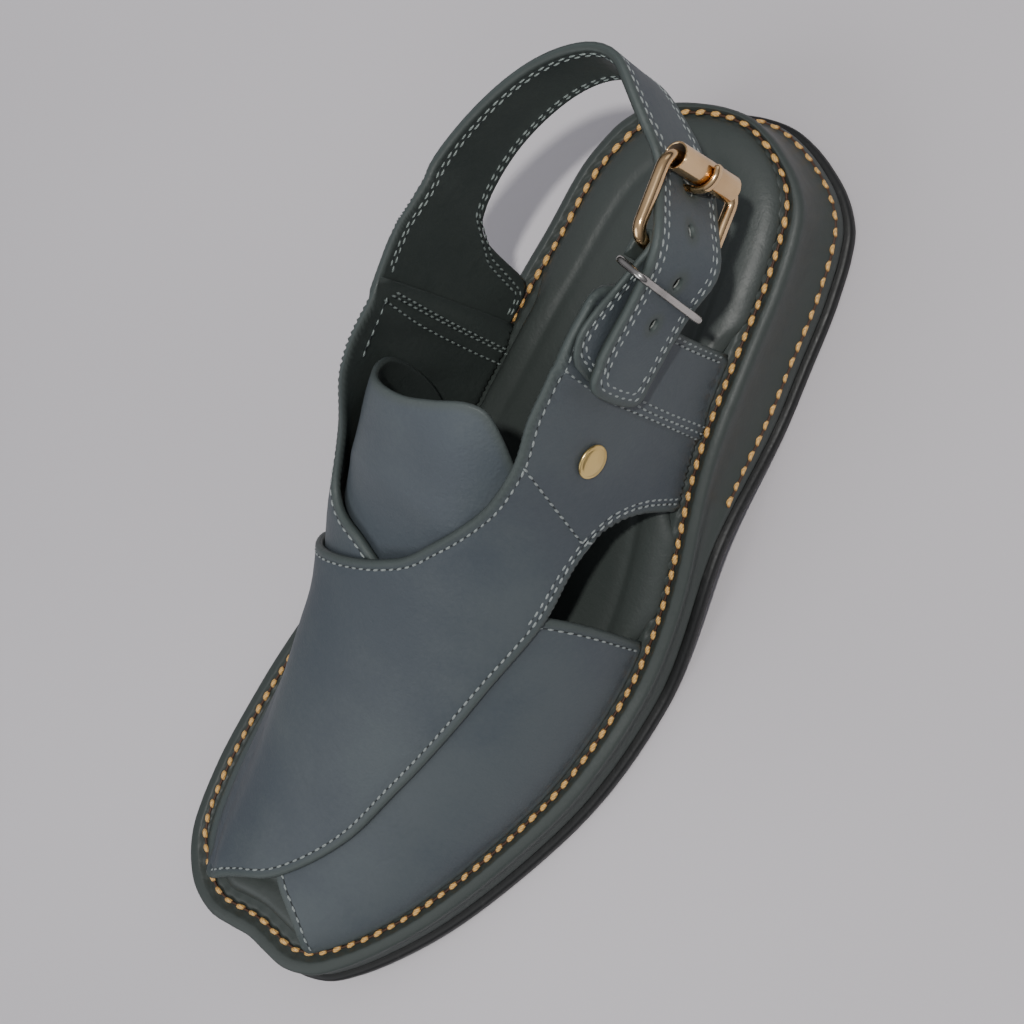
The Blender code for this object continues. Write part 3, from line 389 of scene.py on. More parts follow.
def outward(ring):
    """Unit normals of a closed ring that runs clockwise seen from above."""
    along = np.roll(ring, -1, axis=0) - np.roll(ring, 1, axis=0)
    normal = np.stack([-along[:, 1], along[:, 0]], axis=1)
    return normal / np.linalg.norm(normal, axis=1, keepdims=True)


# %% Heights of the sole
def toe_rise(along):
    return TOE_SPRING * np.clip((0.21 - along) / 0.21, 0.0, 1.1) ** 2


def platform_top(y):
    """Height of the platform, which the footbed and the straps stand on."""
    along = along_at(y)
    ramp = smooth((along - 0.43) / 0.325)
    return PLATFORM_AT_BALL + (PLATFORM_AT_HEEL - PLATFORM_AT_BALL) * ramp + toe_rise(along)


def sole_bottom(y):
    """Flat under the heel and the ball, raised at the arch and the toe."""
    along = along_at(y)
    arch = smooth((along - 0.44) / 0.17) * smooth((0.77 - along) / 0.16)
    return toe_rise(along) + ARCH_RISE * arch


def heel_share(y):
    """0 at the ball, 1 where the side has the heel's cove and flange."""
    return smooth((along_at(y) - 0.56) / 0.14)


def toe_share(y):
    return smooth(1 - along_at(y) / 0.07)


# %% Rings beside the stitch row
def offset_ring(amount):
    """The stitch row moved outwards by an amount for each of its points, a little more round the toe and
    less round the back of the heel."""
    amount = np.broadcast_to(amount, len(RING))
    extra = TOE_EXTRA * toe_share(RING[:, 1]) - HEEL_TRIM * smooth((along_at(RING[:, 1]) - 0.93) / 0.07)
    extra = extra * np.clip(amount / RIM_WIDTH, 0, 1)
    return RING + outward(RING) * (amount + extra)[:, None]


def inset_ring(ring, distance):
    """A closed ring moved inwards in small steps. It is spaced afresh at each one, so that its corners
    stay round."""
    steps = math.ceil(distance / 0.001)
    for _ in range(steps):
        ring = spaced(ring - outward(ring) * distance / steps, len(ring), closed=True)
    return ring


def at_height(ring, height):
    return np.column_stack([ring, np.broadcast_to(height, len(ring))])


def outsole_top(y):
    return sole_bottom(y) + OUTSOLE_THICKNESS


print("round the stitch row:", round(np.linalg.norm(np.diff(OUTLINE, axis=0), axis=1).sum() * 1000), "mm")

# %% [markdown]
# ## Points inside an outline
#
# Leather is cut flat and bent afterwards. Each piece is therefore filled with triangles on a flat chart and
# then laid on the last. These helpers say which chart points lie in an outline and how far from it they are,
# for all points at once.

# %% Inside and distance
def inside_many(points, outline):
    """Whether each point lies in a closed outline, by counting the edges to its right."""
    points, ends = np.asarray(points), np.roll(outline, -1, axis=0)
    y = points[:, 1:2]
    crosses = (outline[:, 1] > y) != (ends[:, 1] > y)
    rise = ends[:, 1] - outline[:, 1]
    slope = np.where(rise == 0, 1.0, rise)
    at = outline[:, 0] + (y - outline[:, 1]) / slope * (ends[:, 0] - outline[:, 0])
    return np.count_nonzero(crosses & (at > points[:, 0:1]), axis=1) % 2 == 1


def distance_many(points, line, closed=False):
    """The distance of each point to a polyline, in two or three dimensions."""
    points, line = np.asarray(points, float), np.asarray(line, float)
    starts = line if closed else line[:-1]
    edges = (np.roll(line, -1, axis=0) if closed else line[1:]) - starts
    size = np.maximum((edges**2).sum(axis=1), 1e-18)
    found = []
    for part in np.array_split(points, max(1, len(points) // 500)):
        away = part[:, None] - starts[None]
        share = np.clip((away * edges).sum(axis=2) / size, 0, 1)
        found.append(np.linalg.norm(away - share[..., None] * edges, axis=2).min(axis=1))
    return np.concatenate(found)


def signed_area(outline):
    """Positive for an outline that runs anticlockwise."""
    following = np.roll(outline, -1, axis=0)
    return float((outline[:, 0] * following[:, 1] - following[:, 0] * outline[:, 1]).sum() / 2)


# %% Fill an outline with triangles
def fill(outline, spacing):
    """Points inside a closed outline, and the triangles that fill it as indices into both."""
    outline = np.array(outline)
    low = outline.min(axis=0)
    high = outline.max(axis=0)
    inner = []
    row_step = spacing * math.sqrt(3) / 2
    for row, y in enumerate(np.arange(low[1] + row_step / 2, high[1], row_step)):
        for x in np.arange(low[0] + (row % 2) * spacing / 2, high[0], spacing):
            point = np.array([x, y])
            if inside(point, outline) and distance_to(point, outline, closed=True) > 0.45 * spacing:
                inner.append(point)
    count = len(outline)
    points = np.concatenate([outline, np.array(inner).reshape(-1, 2)])
    _, _, faces, origin, _, _ = delaunay_2d_cdt(
        [Vector(point / spacing) for point in points],
        [(i, (i + 1) % count) for i in range(count)],
        [list(range(count))],
        1,
        1e-6,
    )
    return points[count:], [[origin[i][0] for i in face] for face in faces]


# %% Outlines on the chart
def joined(*lines):
    """One closed outline from lines that meet end to start."""
    return np.concatenate([line[:-1] for line in lines])


def base_line(start, end, around):
    return on_chart(((start, around), (end, around)), curved=False)


def on_chart(rows, step=SKIN_SPACING * 0.75, curved=True):
    """Strap edge rows as evenly spaced chart points, in metres along and round the last."""
    line = np.array(rows, float) * (STITCH_LENGTH, AROUND_SCALE)
    if curved and len(line) > 2:
        line = curve_through(line)
    length = np.linalg.norm(np.diff(line, axis=0), axis=1).sum()
    return spaced(line, max(2, round(length / step) + 1))


def strap_regions():
    """The chart outlines of the top strap with its quarter, of the strap under it, and of the back
    quarter that laps over the seam."""
    top = joined(
        on_chart(TOP_STRAP_FRONT),
        base_line(TOP_STRAP_FRONT[-1][0], QUARTER_BACK[0][0], 1.0),
        on_chart(QUARTER_BACK),
        on_chart(TOP_STRAP_THROAT),
        base_line(TOP_STRAP_THROAT[-1][0], TOP_STRAP_FRONT[0][0], -1.0),
    )
    under = joined(
        on_chart(UNDER_STRAP_TOE),
        base_line(UNDER_STRAP_TOE[-1][0], UNDER_STRAP_BACK[0][0], 1.0),
        on_chart(UNDER_STRAP_BACK),
        on_chart((UNDER_STRAP_BACK[-1], (UNDER_STRAP_BACK[-1][0], -1.0)), curved=False),
        base_line(UNDER_STRAP_BACK[-1][0], UNDER_STRAP_FRONT[0][0], -1.0),
        on_chart(UNDER_STRAP_FRONT),
    )
    seam = on_chart(SEAM_FRONT)
    behind = on_chart(((SEAM_FRONT[-1]), (0.83, 0.50), (0.83, 1.04), SEAM_FRONT[0]), curved=False)
    return top, under, seam, joined(seam, behind)


def oval(centre, length, width, count=10):
    angles = np.arange(count) * 2 * math.pi / count
    return np.stack([centre + length / 2 * np.cos(angles), width / 2 * np.sin(angles)], axis=1)


def inside(point, outline):
    return bool(inside_many(np.array([point]), outline)[0])


def distance_to(point, line, closed=False):
    return float(distance_many(np.array([point]), line, closed)[0])


# %% [markdown]
# ## The last
#
# The last is a row of superellipse sections. Each point on it is named by two shares: along the shoe, and
# around it from the inner side (-1) over the crown (0) to the outer side (+1). The leather is this surface
# lifted along its normal.

# %% The last's surface
def side_x(y, inset):
    """Where the lateral and the medial side of the stitch row lie at y, moved inwards."""
    lateral = np.interp(-y, -LATERAL_SIDE[:, 1], LATERAL_SIDE[:, 0]) - inset
    medial = np.interp(y, MEDIAL_SIDE[:, 1], MEDIAL_SIDE[:, 0]) + inset
    return lateral, medial


def section_point(along, around, crown, inset):
    """A point of the last's section there: a superellipse whose lateral and medial quarter differ."""
    y = y_at(along)
    lateral, medial = side_x(y, inset)
    shift, lateral_square, medial_square = (
        np.interp(along, SECTION_CURVE[:, 0], SECTION_CURVE[:, i]) for i in (2, 3, 4)
    )
    centre = (lateral + medial) / 2 + shift * (lateral - medial) / 2
    angle = (1 - around) * math.pi / 2
    across, up = np.cos(angle), np.sin(angle)
    square = lateral_square + (medial_square - lateral_square) * (1 - across) / 2
    size = (np.abs(across) ** square + np.abs(up) ** square) ** (-1 / square)
    reach = np.where(across > 0, lateral - centre, centre - medial)
    bulge = MEDIAL_BULGE * smooth((along - 0.36) / 0.14) * smooth((0.98 - along) / 0.2)
    bulge = bulge * np.sin(math.pi * np.clip(-around, 0, 1))
    return np.stack(
        [
            centre + reach * size * across - bulge,
            y,
            platform_top(y) + GAP + crown * np.sign(up) * np.abs(up) * size,
        ],
        axis=-1,
    )


def last_base(along, around):
    crown = INSTEP_HEIGHT * np.interp(along, SECTION_CURVE[:, 0], SECTION_CURVE[:, 1])
    return section_point(along, around, crown, UPPER_INSET + WALL)


def tongue_base(along, around):
    inset = TONGUE_WALL + TONGUE_GAP
    under_straps = np.interp(along, SECTION_CURVE[:, 0], SECTION_CURVE[:, 1]) - inset / INSTEP_HEIGHT
    own = np.interp(along, TONGUE_CURVE[:, 0], TONGUE_CURVE[:, 1])
    crown = INSTEP_HEIGHT * np.minimum(own, under_straps)
    return section_point(along, around, crown, UPPER_INSET + WALL + inset)


def framed(surface, along, around):
    """Points of a surface and its outward unit normals."""
    step_along, step_around = 0.002, 0.004
    forward = surface(along + step_along, around) - surface(along - step_along, around)
    sideways = surface(along, around + step_around) - surface(along, around - step_around)
    normal = np.cross(sideways, forward)
    normal /= np.linalg.norm(normal, axis=-1, keepdims=True)
    return surface(along, around), normal


def on_last(along, around, lift=0.0):
    base, normal = framed(last_base, np.asarray(along, float), np.asarray(around, float))
    return base + normal * np.asarray(lift)[..., None]


def last_frame(chart):
    return framed(last_base, chart[:, 0] / STITCH_LENGTH, chart[:, 1] / AROUND_SCALE)


def tongue_frame(chart):
    return framed(tongue_base, chart[:, 0] / STITCH_LENGTH, chart[:, 1] / AROUND_SCALE)


print("crown at the middle of the last:", round(float(last_base(0.5, 0.0)[2]) * 1000), "mm high")


# %% [markdown]
# ## Shader maths as Python
#
# A finish is easier to read as a formula than as a list of links. `Value` wraps one socket and overloads the
# arithmetic, and `Finish` holds a material and adds any other node by its type, settings and inputs.

# %% Value and Finish
class Value:
    """One socket of a material's tree: an expression on it adds the Math nodes that it needs."""

    def __init__(self, finish, socket):
        self.finish, self.socket = finish, socket

    def math(self, operation, first, second):
        return self.finish.node("ShaderNodeMath", {"operation": operation}, {0: first, 1: second})

    def __add__(self, other):
        return self.math("ADD", self, other)

    def __sub__(self, other):
        return self.math("SUBTRACT", self, other)

    def __mul__(self, other):
        return self.math("MULTIPLY", self, other)

    def __pow__(self, other):
        return self.math("POWER", self, other)

    def __rsub__(self, other):
        return self.math("SUBTRACT", other, self)

    __radd__, __rmul__ = __add__, __mul__


# %% Finish
class Finish:
    """A new material with its Principled shader."""

    def __init__(self, name, roughness=0.5, metallic=0.0):
        self.material = bpy.data.materials.new(name)
        self.material.use_nodes = True
        self.tree = self.material.node_tree
        self.shader = self.tree.nodes["Principled BSDF"]
        self.set("Roughness", roughness)
        self.set("Metallic", metallic)

    def node(self, kind, settings=None, inputs=None, output=0):
        made = self.tree.nodes.new(kind)
        for key, value in (settings or {}).items():
            if key == "stops":
                self.set_stops(made.color_ramp, value)
            else:
                setattr(made, key, value)
        for key, value in (inputs or {}).items():
            self.feed(made.inputs[key], value)
        return Value(self, made.outputs[output])

    def feed(self, socket, value):
        if isinstance(value, Value):
            self.tree.links.new(value.socket, socket)
        else:
            socket.default_value = value

    def set_stops(self, ramp, stops):
        while len(ramp.elements) < len(stops):
            ramp.elements.new(0.5)
        for element, (place, shade) in zip(ramp.elements, stops):
            element.position = place
            element.color = (shade, shade, shade, 1.0)

    def set(self, name, value):
        self.feed(self.shader.inputs[name], value)

    def place(self):
        return self.node("ShaderNodeTexCoord", output="Object")

    def attribute(self, name, output="Fac"):
        return self.node("ShaderNodeAttribute", {"attribute_name": name}, output=output)

    def noise(self, where, scale, detail=2.0, roughness=0.5, distortion=0.0):
        inputs = {"Vector": where, "Scale": scale, "Detail": detail, "Roughness": roughness}
        inputs["Distortion"] = distortion
        return self.node("ShaderNodeTexNoise", {}, inputs)

    def between(self, value, low, high):
        """0 below low, 1 above high, smooth in between."""
        inputs = {"Value": value, "From Min": low, "From Max": high}
        return self.node("ShaderNodeMapRange", {"interpolation_type": "SMOOTHSTEP"}, inputs)

    def mix(self, share, first, second):
        settings = {"data_type": "RGBA"}
        inputs = {0: share, 6: colour(first), 7: colour(second)}
        return self.node("ShaderNodeMix", settings, inputs, output=2)

    def bump(self, height, strength, distance, below=None):
        inputs = {"Height": height, "Strength": strength, "Distance": distance}
        if below is not None:
            inputs["Normal"] = below
        return self.node("ShaderNodeBump", {}, inputs)


def colour(value):
    return value if isinstance(value, Value) else (*value, 1.0)


# %% [markdown]
# ## Leather
#
# The upper is a corrected-grain leather: nearly matt, with a fine pebble grain, a faint cloudiness and a
# greener tone towards the edges where it was rubbed and folded. The pebbles are a small Voronoi pattern
# broken up by noise, and the cloudiness is the same noise at a much larger scale. The attribute `from_edge`
# holds each point's distance from the cut edge in millimetres, so the edge tone follows the piece.

# %% Leather finish
# Distances from the cut edge, in millimetres, between which the edge tone fades
EDGE_TONE = (0.4, 3.4)


def leather(name, tone, cloud, edge, roughness, grain=1150.0, relief=0.5):
    made = Finish(name)
    place = made.place()
    pebbles = made.node(
        "ShaderNodeTexVoronoi", {"feature": "SMOOTH_F1"}, {"Vector": place, "Scale": grain}, output="Distance"
    )
    fine = made.noise(place, grain * 1.7, 3.0, 0.6)
    creased = made.noise(place, 150.0, 4.0, 0.62, 0.6)
    broad = made.noise(place, 19.0, 3.0, 0.55)
    speckle = made.noise(place, 620.0, 2.0, 0.6)
    clouded = made.mix(made.between(broad + speckle * 0.22, 0.42, 0.76), tone, cloud)
    by_edge = 1.0 - made.between(made.attribute("from_edge"), *EDGE_TONE)
    made.set("Base Color", made.mix(by_edge * 0.85, clouded, edge))
    made.set("Roughness", roughness - 0.09 + creased * 0.13 + fine * 0.06)
    height = pebbles * 0.65 + fine * 0.35
    soft = made.bump(creased, 0.20, 0.0011)
    made.set("Normal", made.bump(height, relief, 0.00022, soft))
    made.shader.inputs["Specular IOR Level"].default_value = 0.42
    return made.material


# %% The leathers
UPPER_LEATHER = leather(
    "Blue-grey upper leather", (0.058, 0.072, 0.085), (0.078, 0.094, 0.102), (0.064, 0.080, 0.074), 0.56
)
SOLE_LEATHER = leather(
    "Green-grey sole leather", (0.042, 0.052, 0.048), (0.060, 0.072, 0.066), (0.044, 0.054, 0.050), 0.50,
    grain=1500.0, relief=0.22,
)
LINING_LEATHER = leather(
    "Dark green lining leather", (0.044, 0.055, 0.051), (0.060, 0.073, 0.067), (0.048, 0.059, 0.055), 0.46,
    grain=900.0, relief=0.30,
)
FOOTBED_LEATHER = leather(
    "Footbed leather", (0.045, 0.054, 0.050), (0.065, 0.075, 0.070), (0.050, 0.060, 0.056), 0.46,
    grain=1300.0, relief=0.25,
)
EDGE_LEATHER = leather(
    "Folded leather edge", (0.048, 0.062, 0.060), (0.066, 0.082, 0.078), (0.050, 0.064, 0.062), 0.6,
    relief=0.4,
)
# The tongue is cut from the upper's blue-grey leather; its lighter tone is painted light.
LIT_TONGUE_LEATHER = leather(
    "Blue-grey tongue leather, brightened as painted light", (0.070, 0.086, 0.100), (0.090, 0.108, 0.117), (0.074, 0.090, 0.086), 0.54
)
# Walls of the punched holes: pale cut leather, its paleness partly a painted glint of light.
RAW_LEATHER_AND_GLINT = leather(
    "Raw leather in the punched holes, pale as a painted glint", (0.34, 0.36, 0.34), (0.44, 0.46, 0.44), (0.34, 0.36, 0.34), 0.6
)
print("finishes with the frame's own:", len(bpy.data.materials))

# %% [markdown]
# ## Thread
#
# The welt is sewn with a thick waxed tan thread, and the straps with a fine pale one. Twisted strands show
# as slanting stripes. They follow the attribute `grain`, which each stitch keeps from the time when it was a
# unit ball, so they turn with the stitch. Towards its two ends each stitch fades to its dark tone: painted
# shade where the thread dips into its hole.

# %% Thread finishes
def thread(name, light, dark, roughness, strands):
    made = Finish(name, roughness)
    parts = made.node(
        "ShaderNodeSeparateXYZ", {}, {"Vector": made.attribute("grain", "Vector")}
    ).socket.node
    along, side = Value(made, parts.outputs["X"]), Value(made, parts.outputs["Y"])
    twist = made.node("ShaderNodeMath", {"operation": "SINE"}, {0: (along + side * 0.8) * strands})
    fibre = made.noise(made.place(), 2600.0, 2.0, 0.7)
    # Each stitch fades to the dark tone towards its two ends: painted shade where the thread dips into its
    # hole.
    ends = made.between(along * along, 0.22, 0.95)
    stripe = made.between(twist, -0.9, 0.5)
    lit = (0.72 + stripe * 0.28) * (1.0 - ends) * (0.65 + fibre * 0.6)
    made.set("Base Color", made.mix(lit, dark, light))
    made.set("Normal", made.bump(twist * 0.5 + fibre * 0.5, 0.6, 0.00025))
    return made.material


TAN_THREAD = thread("Tan waxed thread", (0.88, 0.52, 0.17), (0.15, 0.058, 0.017), 0.34, 8.0)
PALE_THREAD = thread("Pale grey thread", (0.37, 0.41, 0.40), (0.11, 0.135, 0.135), 0.5, 7.0)
DIM_THREAD = thread("Dark lining thread", (0.30, 0.35, 0.33), (0.10, 0.125, 0.12), 0.5, 7.0)
# The welt's lower thread is brown, and its near-black tone is painted shade in the stitch holes.
BROWN_THREAD_AND_HOLE_SHADE = thread("Brown thread and painted hole shade between stitches", (0.070, 0.030, 0.014), (0.022, 0.010, 0.006), 0.6, 3.0)
# A near-black tube under the fine rows: painted shadow in their stitch grooves.
PAINTED_GROOVE_SHADOW = thread("Painted groove shadow under the fine stitches", (0.024, 0.030, 0.032), (0.010, 0.013, 0.014), 0.7, 3.0)
print("finishes with the threads:", len(bpy.data.materials))

# %% [markdown]
# ## Rubber and metal
#
# The outsole is black rubber with a slight bloom of dust. The buckle is plated in a rose tone and polished,
# with hair scratches from handling. Scratches are noise squeezed along one axis by a Mapping node.

# %% Rubber and metal finishes
def rubber():
    made = Finish("Black outsole rubber")
    place = made.place()
    dust = made.noise(place, 260.0, 4.0, 0.7)
    pits = made.noise(place, 1400.0, 2.0, 0.5)
    dusty = made.between(dust, 0.56, 0.80)
    made.set("Base Color", made.mix(dusty, (0.007, 0.008, 0.008), (0.030, 0.032, 0.031)))
    made.set("Roughness", 0.34 + dust * 0.32)
    made.set("Normal", made.bump(pits * 0.5 + dust, 0.35, 0.0003))
    return made.material


def metal(name, tone, shade, roughness, wear=0.10):
    made = Finish(name, metallic=1.0)
    place = made.place()
    stretched = made.node("ShaderNodeMapping", {}, {"Vector": place, "Scale": (700.0, 160.0, 2200.0)})
    scratches = made.noise(stretched, 1.0, 3.0, 0.6)
    broad = made.noise(place, 90.0, 2.0, 0.5)
    made.set("Base Color", made.mix(made.between(broad, 0.38, 0.72), tone, shade))
    made.set("Roughness", roughness + made.between(scratches, 0.5, 0.8) * wear + broad * 0.06)
    made.set("Normal", made.bump(scratches, 0.02, 0.0001))
    return made.material


OUTSOLE_RUBBER = rubber()
ROSE_METAL = metal("Rose-coloured plating", (0.86, 0.60, 0.33), (0.66, 0.44, 0.23), 0.13, 0.08)
STEEL = metal("Satin steel wire", (0.52, 0.50, 0.47), (0.36, 0.35, 0.33), 0.20)
STUD_BRASS = metal("Old brass stud", (0.84, 0.62, 0.25), (0.64, 0.45, 0.16), 0.28, 0.16)
# The roller's bore: dull metal, painted near black as the shade inside the tube.
DARK_METAL = metal("Dull inside of the roller, near black as painted shade", (0.10, 0.075, 0.055), (0.06, 0.045, 0.035), 0.55)
print("finishes in all:", len(bpy.data.materials))

# %% [markdown]
# ## Making a piece
#
# Every piece ends as one plain mesh at the origin, with its place in its points. This helper shifts the
# points from the last's middle to the frame's origin, gives each face its finish, and stores the attributes
# that the finishes read.

# %% Piece from points and faces
def piece(name, points, faces, finishes, kinds=None, values=None):
    mesh = bpy.data.meshes.new(name)
    mesh.from_pydata([tuple(point) for point in np.asarray(points) + SHIFT], [], faces)
    for finish in finishes:
        mesh.materials.append(finish)
    if kinds is not None:
        mesh.polygons.foreach_set("material_index", kinds)
    for key, numbers in (values or {}).items():
        mesh.attributes.new(key, "FLOAT", "POINT").data.foreach_set("value", np.asarray(numbers, np.float32))
    mesh.shade_smooth()
    mesh.validate()
    made = bpy.data.objects.new(name, mesh)
    bpy.context.scene.collection.objects.link(made)
    return made


def settle(made, slot, *nodes):
    """Rides on the one body and hides the nodes that it replaces. The slot is not used."""
    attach(made, "root")
    if nodes:
        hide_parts(*nodes)
    print(made.name, len(made.data.polygons), "faces")
    return made


def outwards(made, merge=0.00001):
    """Merges doubles and turns the faces of a closed mesh outwards."""
    edited = bmesh.new()
    edited.from_mesh(made.data)
    bmesh.ops.remove_doubles(edited, verts=edited.verts, dist=merge)
    bmesh.ops.recalc_face_normals(edited, faces=edited.faces)
    edited.to_mesh(made.data)
    edited.free()
    return made


# %% [markdown]
# ## The sole: rings of points
#
# Outsole, midsole and footbed are all stacks of rings that follow the stitch row. A short table gives how far
# each ring stands out and how high it lies. The rings are joined by one smooth surface, which is finer than
# the solid's, and closed by caps.

# %% Stack of rings
RING_STEPS = 8
ROW_STEPS = 3


def stack(name, rings, finishes, bottom, top, cap=0.012, shape=None):
    """A closed piece through rings of points, lowest first, with a filled cap at its bottom and top."""
    rows = smooth_rows(np.array(rings))
    across = np.array([curve_through(row, closed=True, steps=RING_STEPS) for row in rows])
    if shape is not None:
        across = shape(across)
    count = across.shape[1]
    points = list(across.reshape(-1, 3))
    quads = []
    for row in range(len(across) - 1):
        for i in range(count):
            j = (i + 1) % count
            quads.append((row * count + i, row * count + j, (row + 1) * count + j, (row + 1) * count + i))
    for row, height in ((0, bottom), (len(across) - 1, top)):
        inner, faces = fill(across[row][:, :2], cap)
        names = [row * count + i for i in range(count)] + [len(points) + i for i in range(len(inner))]
        points += [(x, y, float(height(y))) for x, y in inner]
        quads += [tuple(names[i] for i in face) for face in faces]
    return outwards(piece(name, points, quads, finishes))


def smooth_rows(rings):
    """More rings between the given ones, on smooth curves."""
    flat = rings.reshape(len(rings), -1)
    return curve_through(flat, steps=ROW_STEPS).reshape(-1, rings.shape[1], 3)


# %% [markdown]
# ## Outsole
#
# A four millimetre plate of black rubber. Its edge is rounded, which leaves a fine groove under the midsole
# where the two are cemented. The underside isn't seen in the photo and stays plain.

# %% Outsole
OUTSOLE_EDGE = (
    (0.00, 0.0062, 0.0074),
    (0.04, 0.0070, 0.0082),
    (0.16, 0.0078, 0.0089),
    (0.50, 0.0080, 0.0091),
    (0.80, 0.0078, 0.0089),
    (0.94, 0.0073, 0.0084),
    (1.00, 0.0064, 0.0075),
)


def outsole_rings():
    heel = heel_share(RING[:, 1])
    rings = []
    for share, at_ball, at_heel in OUTSOLE_EDGE:
        ring = offset_ring(at_ball * (1 - heel) + at_heel * heel)
        rings.append(at_height(ring, sole_bottom(ring[:, 1]) + share * OUTSOLE_THICKNESS))
    return rings


outsole = stack("outsole_rubber", outsole_rings(), [OUTSOLE_RUBBER], sole_bottom, outsole_top)
settle(outsole, "outsole", "outsole")

# %% [markdown]
# ## Midsole
#
# The platform is wrapped in one sheet of leather. Its side is straight at the ball and coved at the heel,
# where a flange stands out at the bottom for a second row of stitches. On top the sheet rises to a slim
# ridge just outside the welt row, then dips into the groove that the tight thread pulls. Between two
# stitches the leather bulges up, so the groove's depth swings once for each stitch.

# %% Midsole
WELT_PITCH = 0.0047
PUCKER, CREASES = 0.00032, 0.00009
# Columns: share of the platform's side; how far it stands out at the ball and at the heel
PLATFORM_WRAP = (
    (0.00, 0.0044, 0.0060),
    (0.03, 0.0053, 0.0070),
    (0.10, 0.0057, 0.0075),
    (0.20, 0.0056, 0.0072),
    (0.28, 0.0054, 0.0060),
    (0.38, 0.0051, 0.0050),
    (0.52, 0.0050, 0.0044),
    (0.66, 0.0052, 0.0045),
    (0.78, 0.0055, 0.0049),
    (0.90, 0.0055, 0.0053),
    (0.97, 0.0050, 0.0051),
)
# Columns: distance out from the stitch row; height over the platform; how much the stitches pull there
WELT_PROFILE = (
    (0.0040, 0.0002, 0.0),
    (0.0030, 0.0005, 0.0),
    (0.0024, 0.0005, 0.1),
    (0.0019, 0.0001, 0.5),
    (0.0012, -0.0006, 1.0),
    (0.0004, -0.0012, 0.8),
    (-0.0004, -0.0012, 0.8),
    (-0.0012, -0.0005, 1.0),
    (-0.0020, 0.0001, 0.5),
    (-0.0034, 0.0001, 0.1),
)


def midsole_rings():
    heel = heel_share(RING[:, 1])
    rings = []
    for share, at_ball, at_heel in PLATFORM_WRAP:
        ring = offset_ring(at_ball * (1 - heel) + at_heel * heel)
        low = outsole_top(ring[:, 1]) + GAP
        rings.append(at_height(ring, low + share * (platform_top(ring[:, 1]) - low)))
    for out, rise, _ in WELT_PROFILE:
        ring = offset_ring(out)
        rings.append(at_height(ring, platform_top(ring[:, 1]) + rise))
    return rings


# %% The welt's path and its pucker
def welt_path():
    """The stitch row in space, closed, with its length."""
    fine = curve_through(at_height(RING, platform_top(RING[:, 1])), closed=True, steps=RING_STEPS)
    steps = np.linalg.norm(np.roll(fine, -1, axis=0) - fine, axis=1)
    return fine, np.concatenate([[0], np.cumsum(steps)[:-1]]), steps.sum()


WELT, WELT_RUN, WELT_LENGTH = welt_path()
WELT_COUNT = round(WELT_LENGTH / WELT_PITCH)


def pucker(rows):
    """Lifts the leather between the welt stitches and presses it down under them."""
    turns = np.cos(2 * math.pi * WELT_RUN / WELT_LENGTH * WELT_COUNT)
    first = len(PLATFORM_WRAP) * ROW_STEPS
    pulls = np.array([row[2] for row in WELT_PROFILE])
    for i in range(first, len(rows)):
        share = np.interp((i - first) / ROW_STEPS, np.arange(len(pulls)), pulls)
        rows[i, :, 2] -= PUCKER * share * turns
        rows[i, :, 2] += CREASES * share * np.sin(WELT_RUN * 5200.0 + i * 1.7)
    return rows


# %% Make the midsole
midsole = stack(
    "midsole_wrap",
    midsole_rings(),
    [SOLE_LEATHER],
    lambda y: outsole_top(y) + GAP,
    platform_top,
    shape=pucker,
)
settle(midsole, "sole_leather", "midsole")
print("welt stitches:", WELT_COUNT, "over", round(WELT_LENGTH * 1000), "mm")

# %% [markdown]
# ## Footbed
#
# A padded sheet with a pressed trough that runs parallel to its edge. Where no strap stands in the way, its
# leather slopes down to the welt row and is caught by it. Under the straps it ends at the lining.

# %% Footbed
# Columns: distance in from the footbed's edge; share of its thickness
FOOTBED_PROFILE = (
    (0.0, 0.02),
    (0.0003, 0.30),
    (0.0012, 0.66),
    (0.0026, 0.92),
    (0.0042, 1.00),
    (0.0060, 0.97),
    (0.0073, 0.87),
    (0.0083, 0.81),
    (0.0093, 0.87),
    (0.0106, 0.98),
    (0.0122, 1.04),
    (0.0150, 1.05),
)
# Where straps stand on the sole: side, first and last share along
STANDING = (
    ("outer", 0.018, 0.500),
    ("outer", 0.630, 0.800),
    ("inner", 0.016, 0.458),
    ("inner", 0.598, 0.755),
)


def clear_of_straps(ring):
    """1 where the footbed reaches the welt row, 0 where a strap stands in between."""
    along = along_at(ring[:, 1])
    middle = np.interp(along, (0, 1), (-0.4, 0.06)) * STITCH_HALF_WIDTH
    free = np.ones(len(ring))
    for side, first, last in STANDING:
        there = (ring[:, 0] > middle) == (side == "outer")
        held = smooth((along - first + 0.012) / 0.012) * smooth((last + 0.012 - along) / 0.012)
        free = np.where(there, free * (1 - held), free)
    return free


def footbed_rings():
    edge = inset_ring(RING, INSOLE_INSET)
    rings = []
    for inwards, share in FOOTBED_PROFILE:
        ring = inset_ring(edge, inwards)
        fade = max(0.0, 1 - inwards / 0.0052)
        reach = (INSOLE_INSET - 0.0011) * fade * clear_of_straps(ring)
        height = platform_top(ring[:, 1]) + GAP + share * INSOLE_THICKNESS
        ring = ring + outward(ring) * reach[:, None]
        rings.append(at_height(ring, height - 0.0009 * fade * clear_of_straps(ring)))
    return rings


FOOTBED_TOP = FOOTBED_PROFILE[-1][1] * INSOLE_THICKNESS
footbed = stack(
    "footbed",
    footbed_rings(),
    [FOOTBED_LEATHER],
    lambda y: platform_top(y) + GAP,
    lambda y: platform_top(y) + GAP + FOOTBED_TOP,
    cap=0.009,
)
settle(footbed, "lining", "insole")

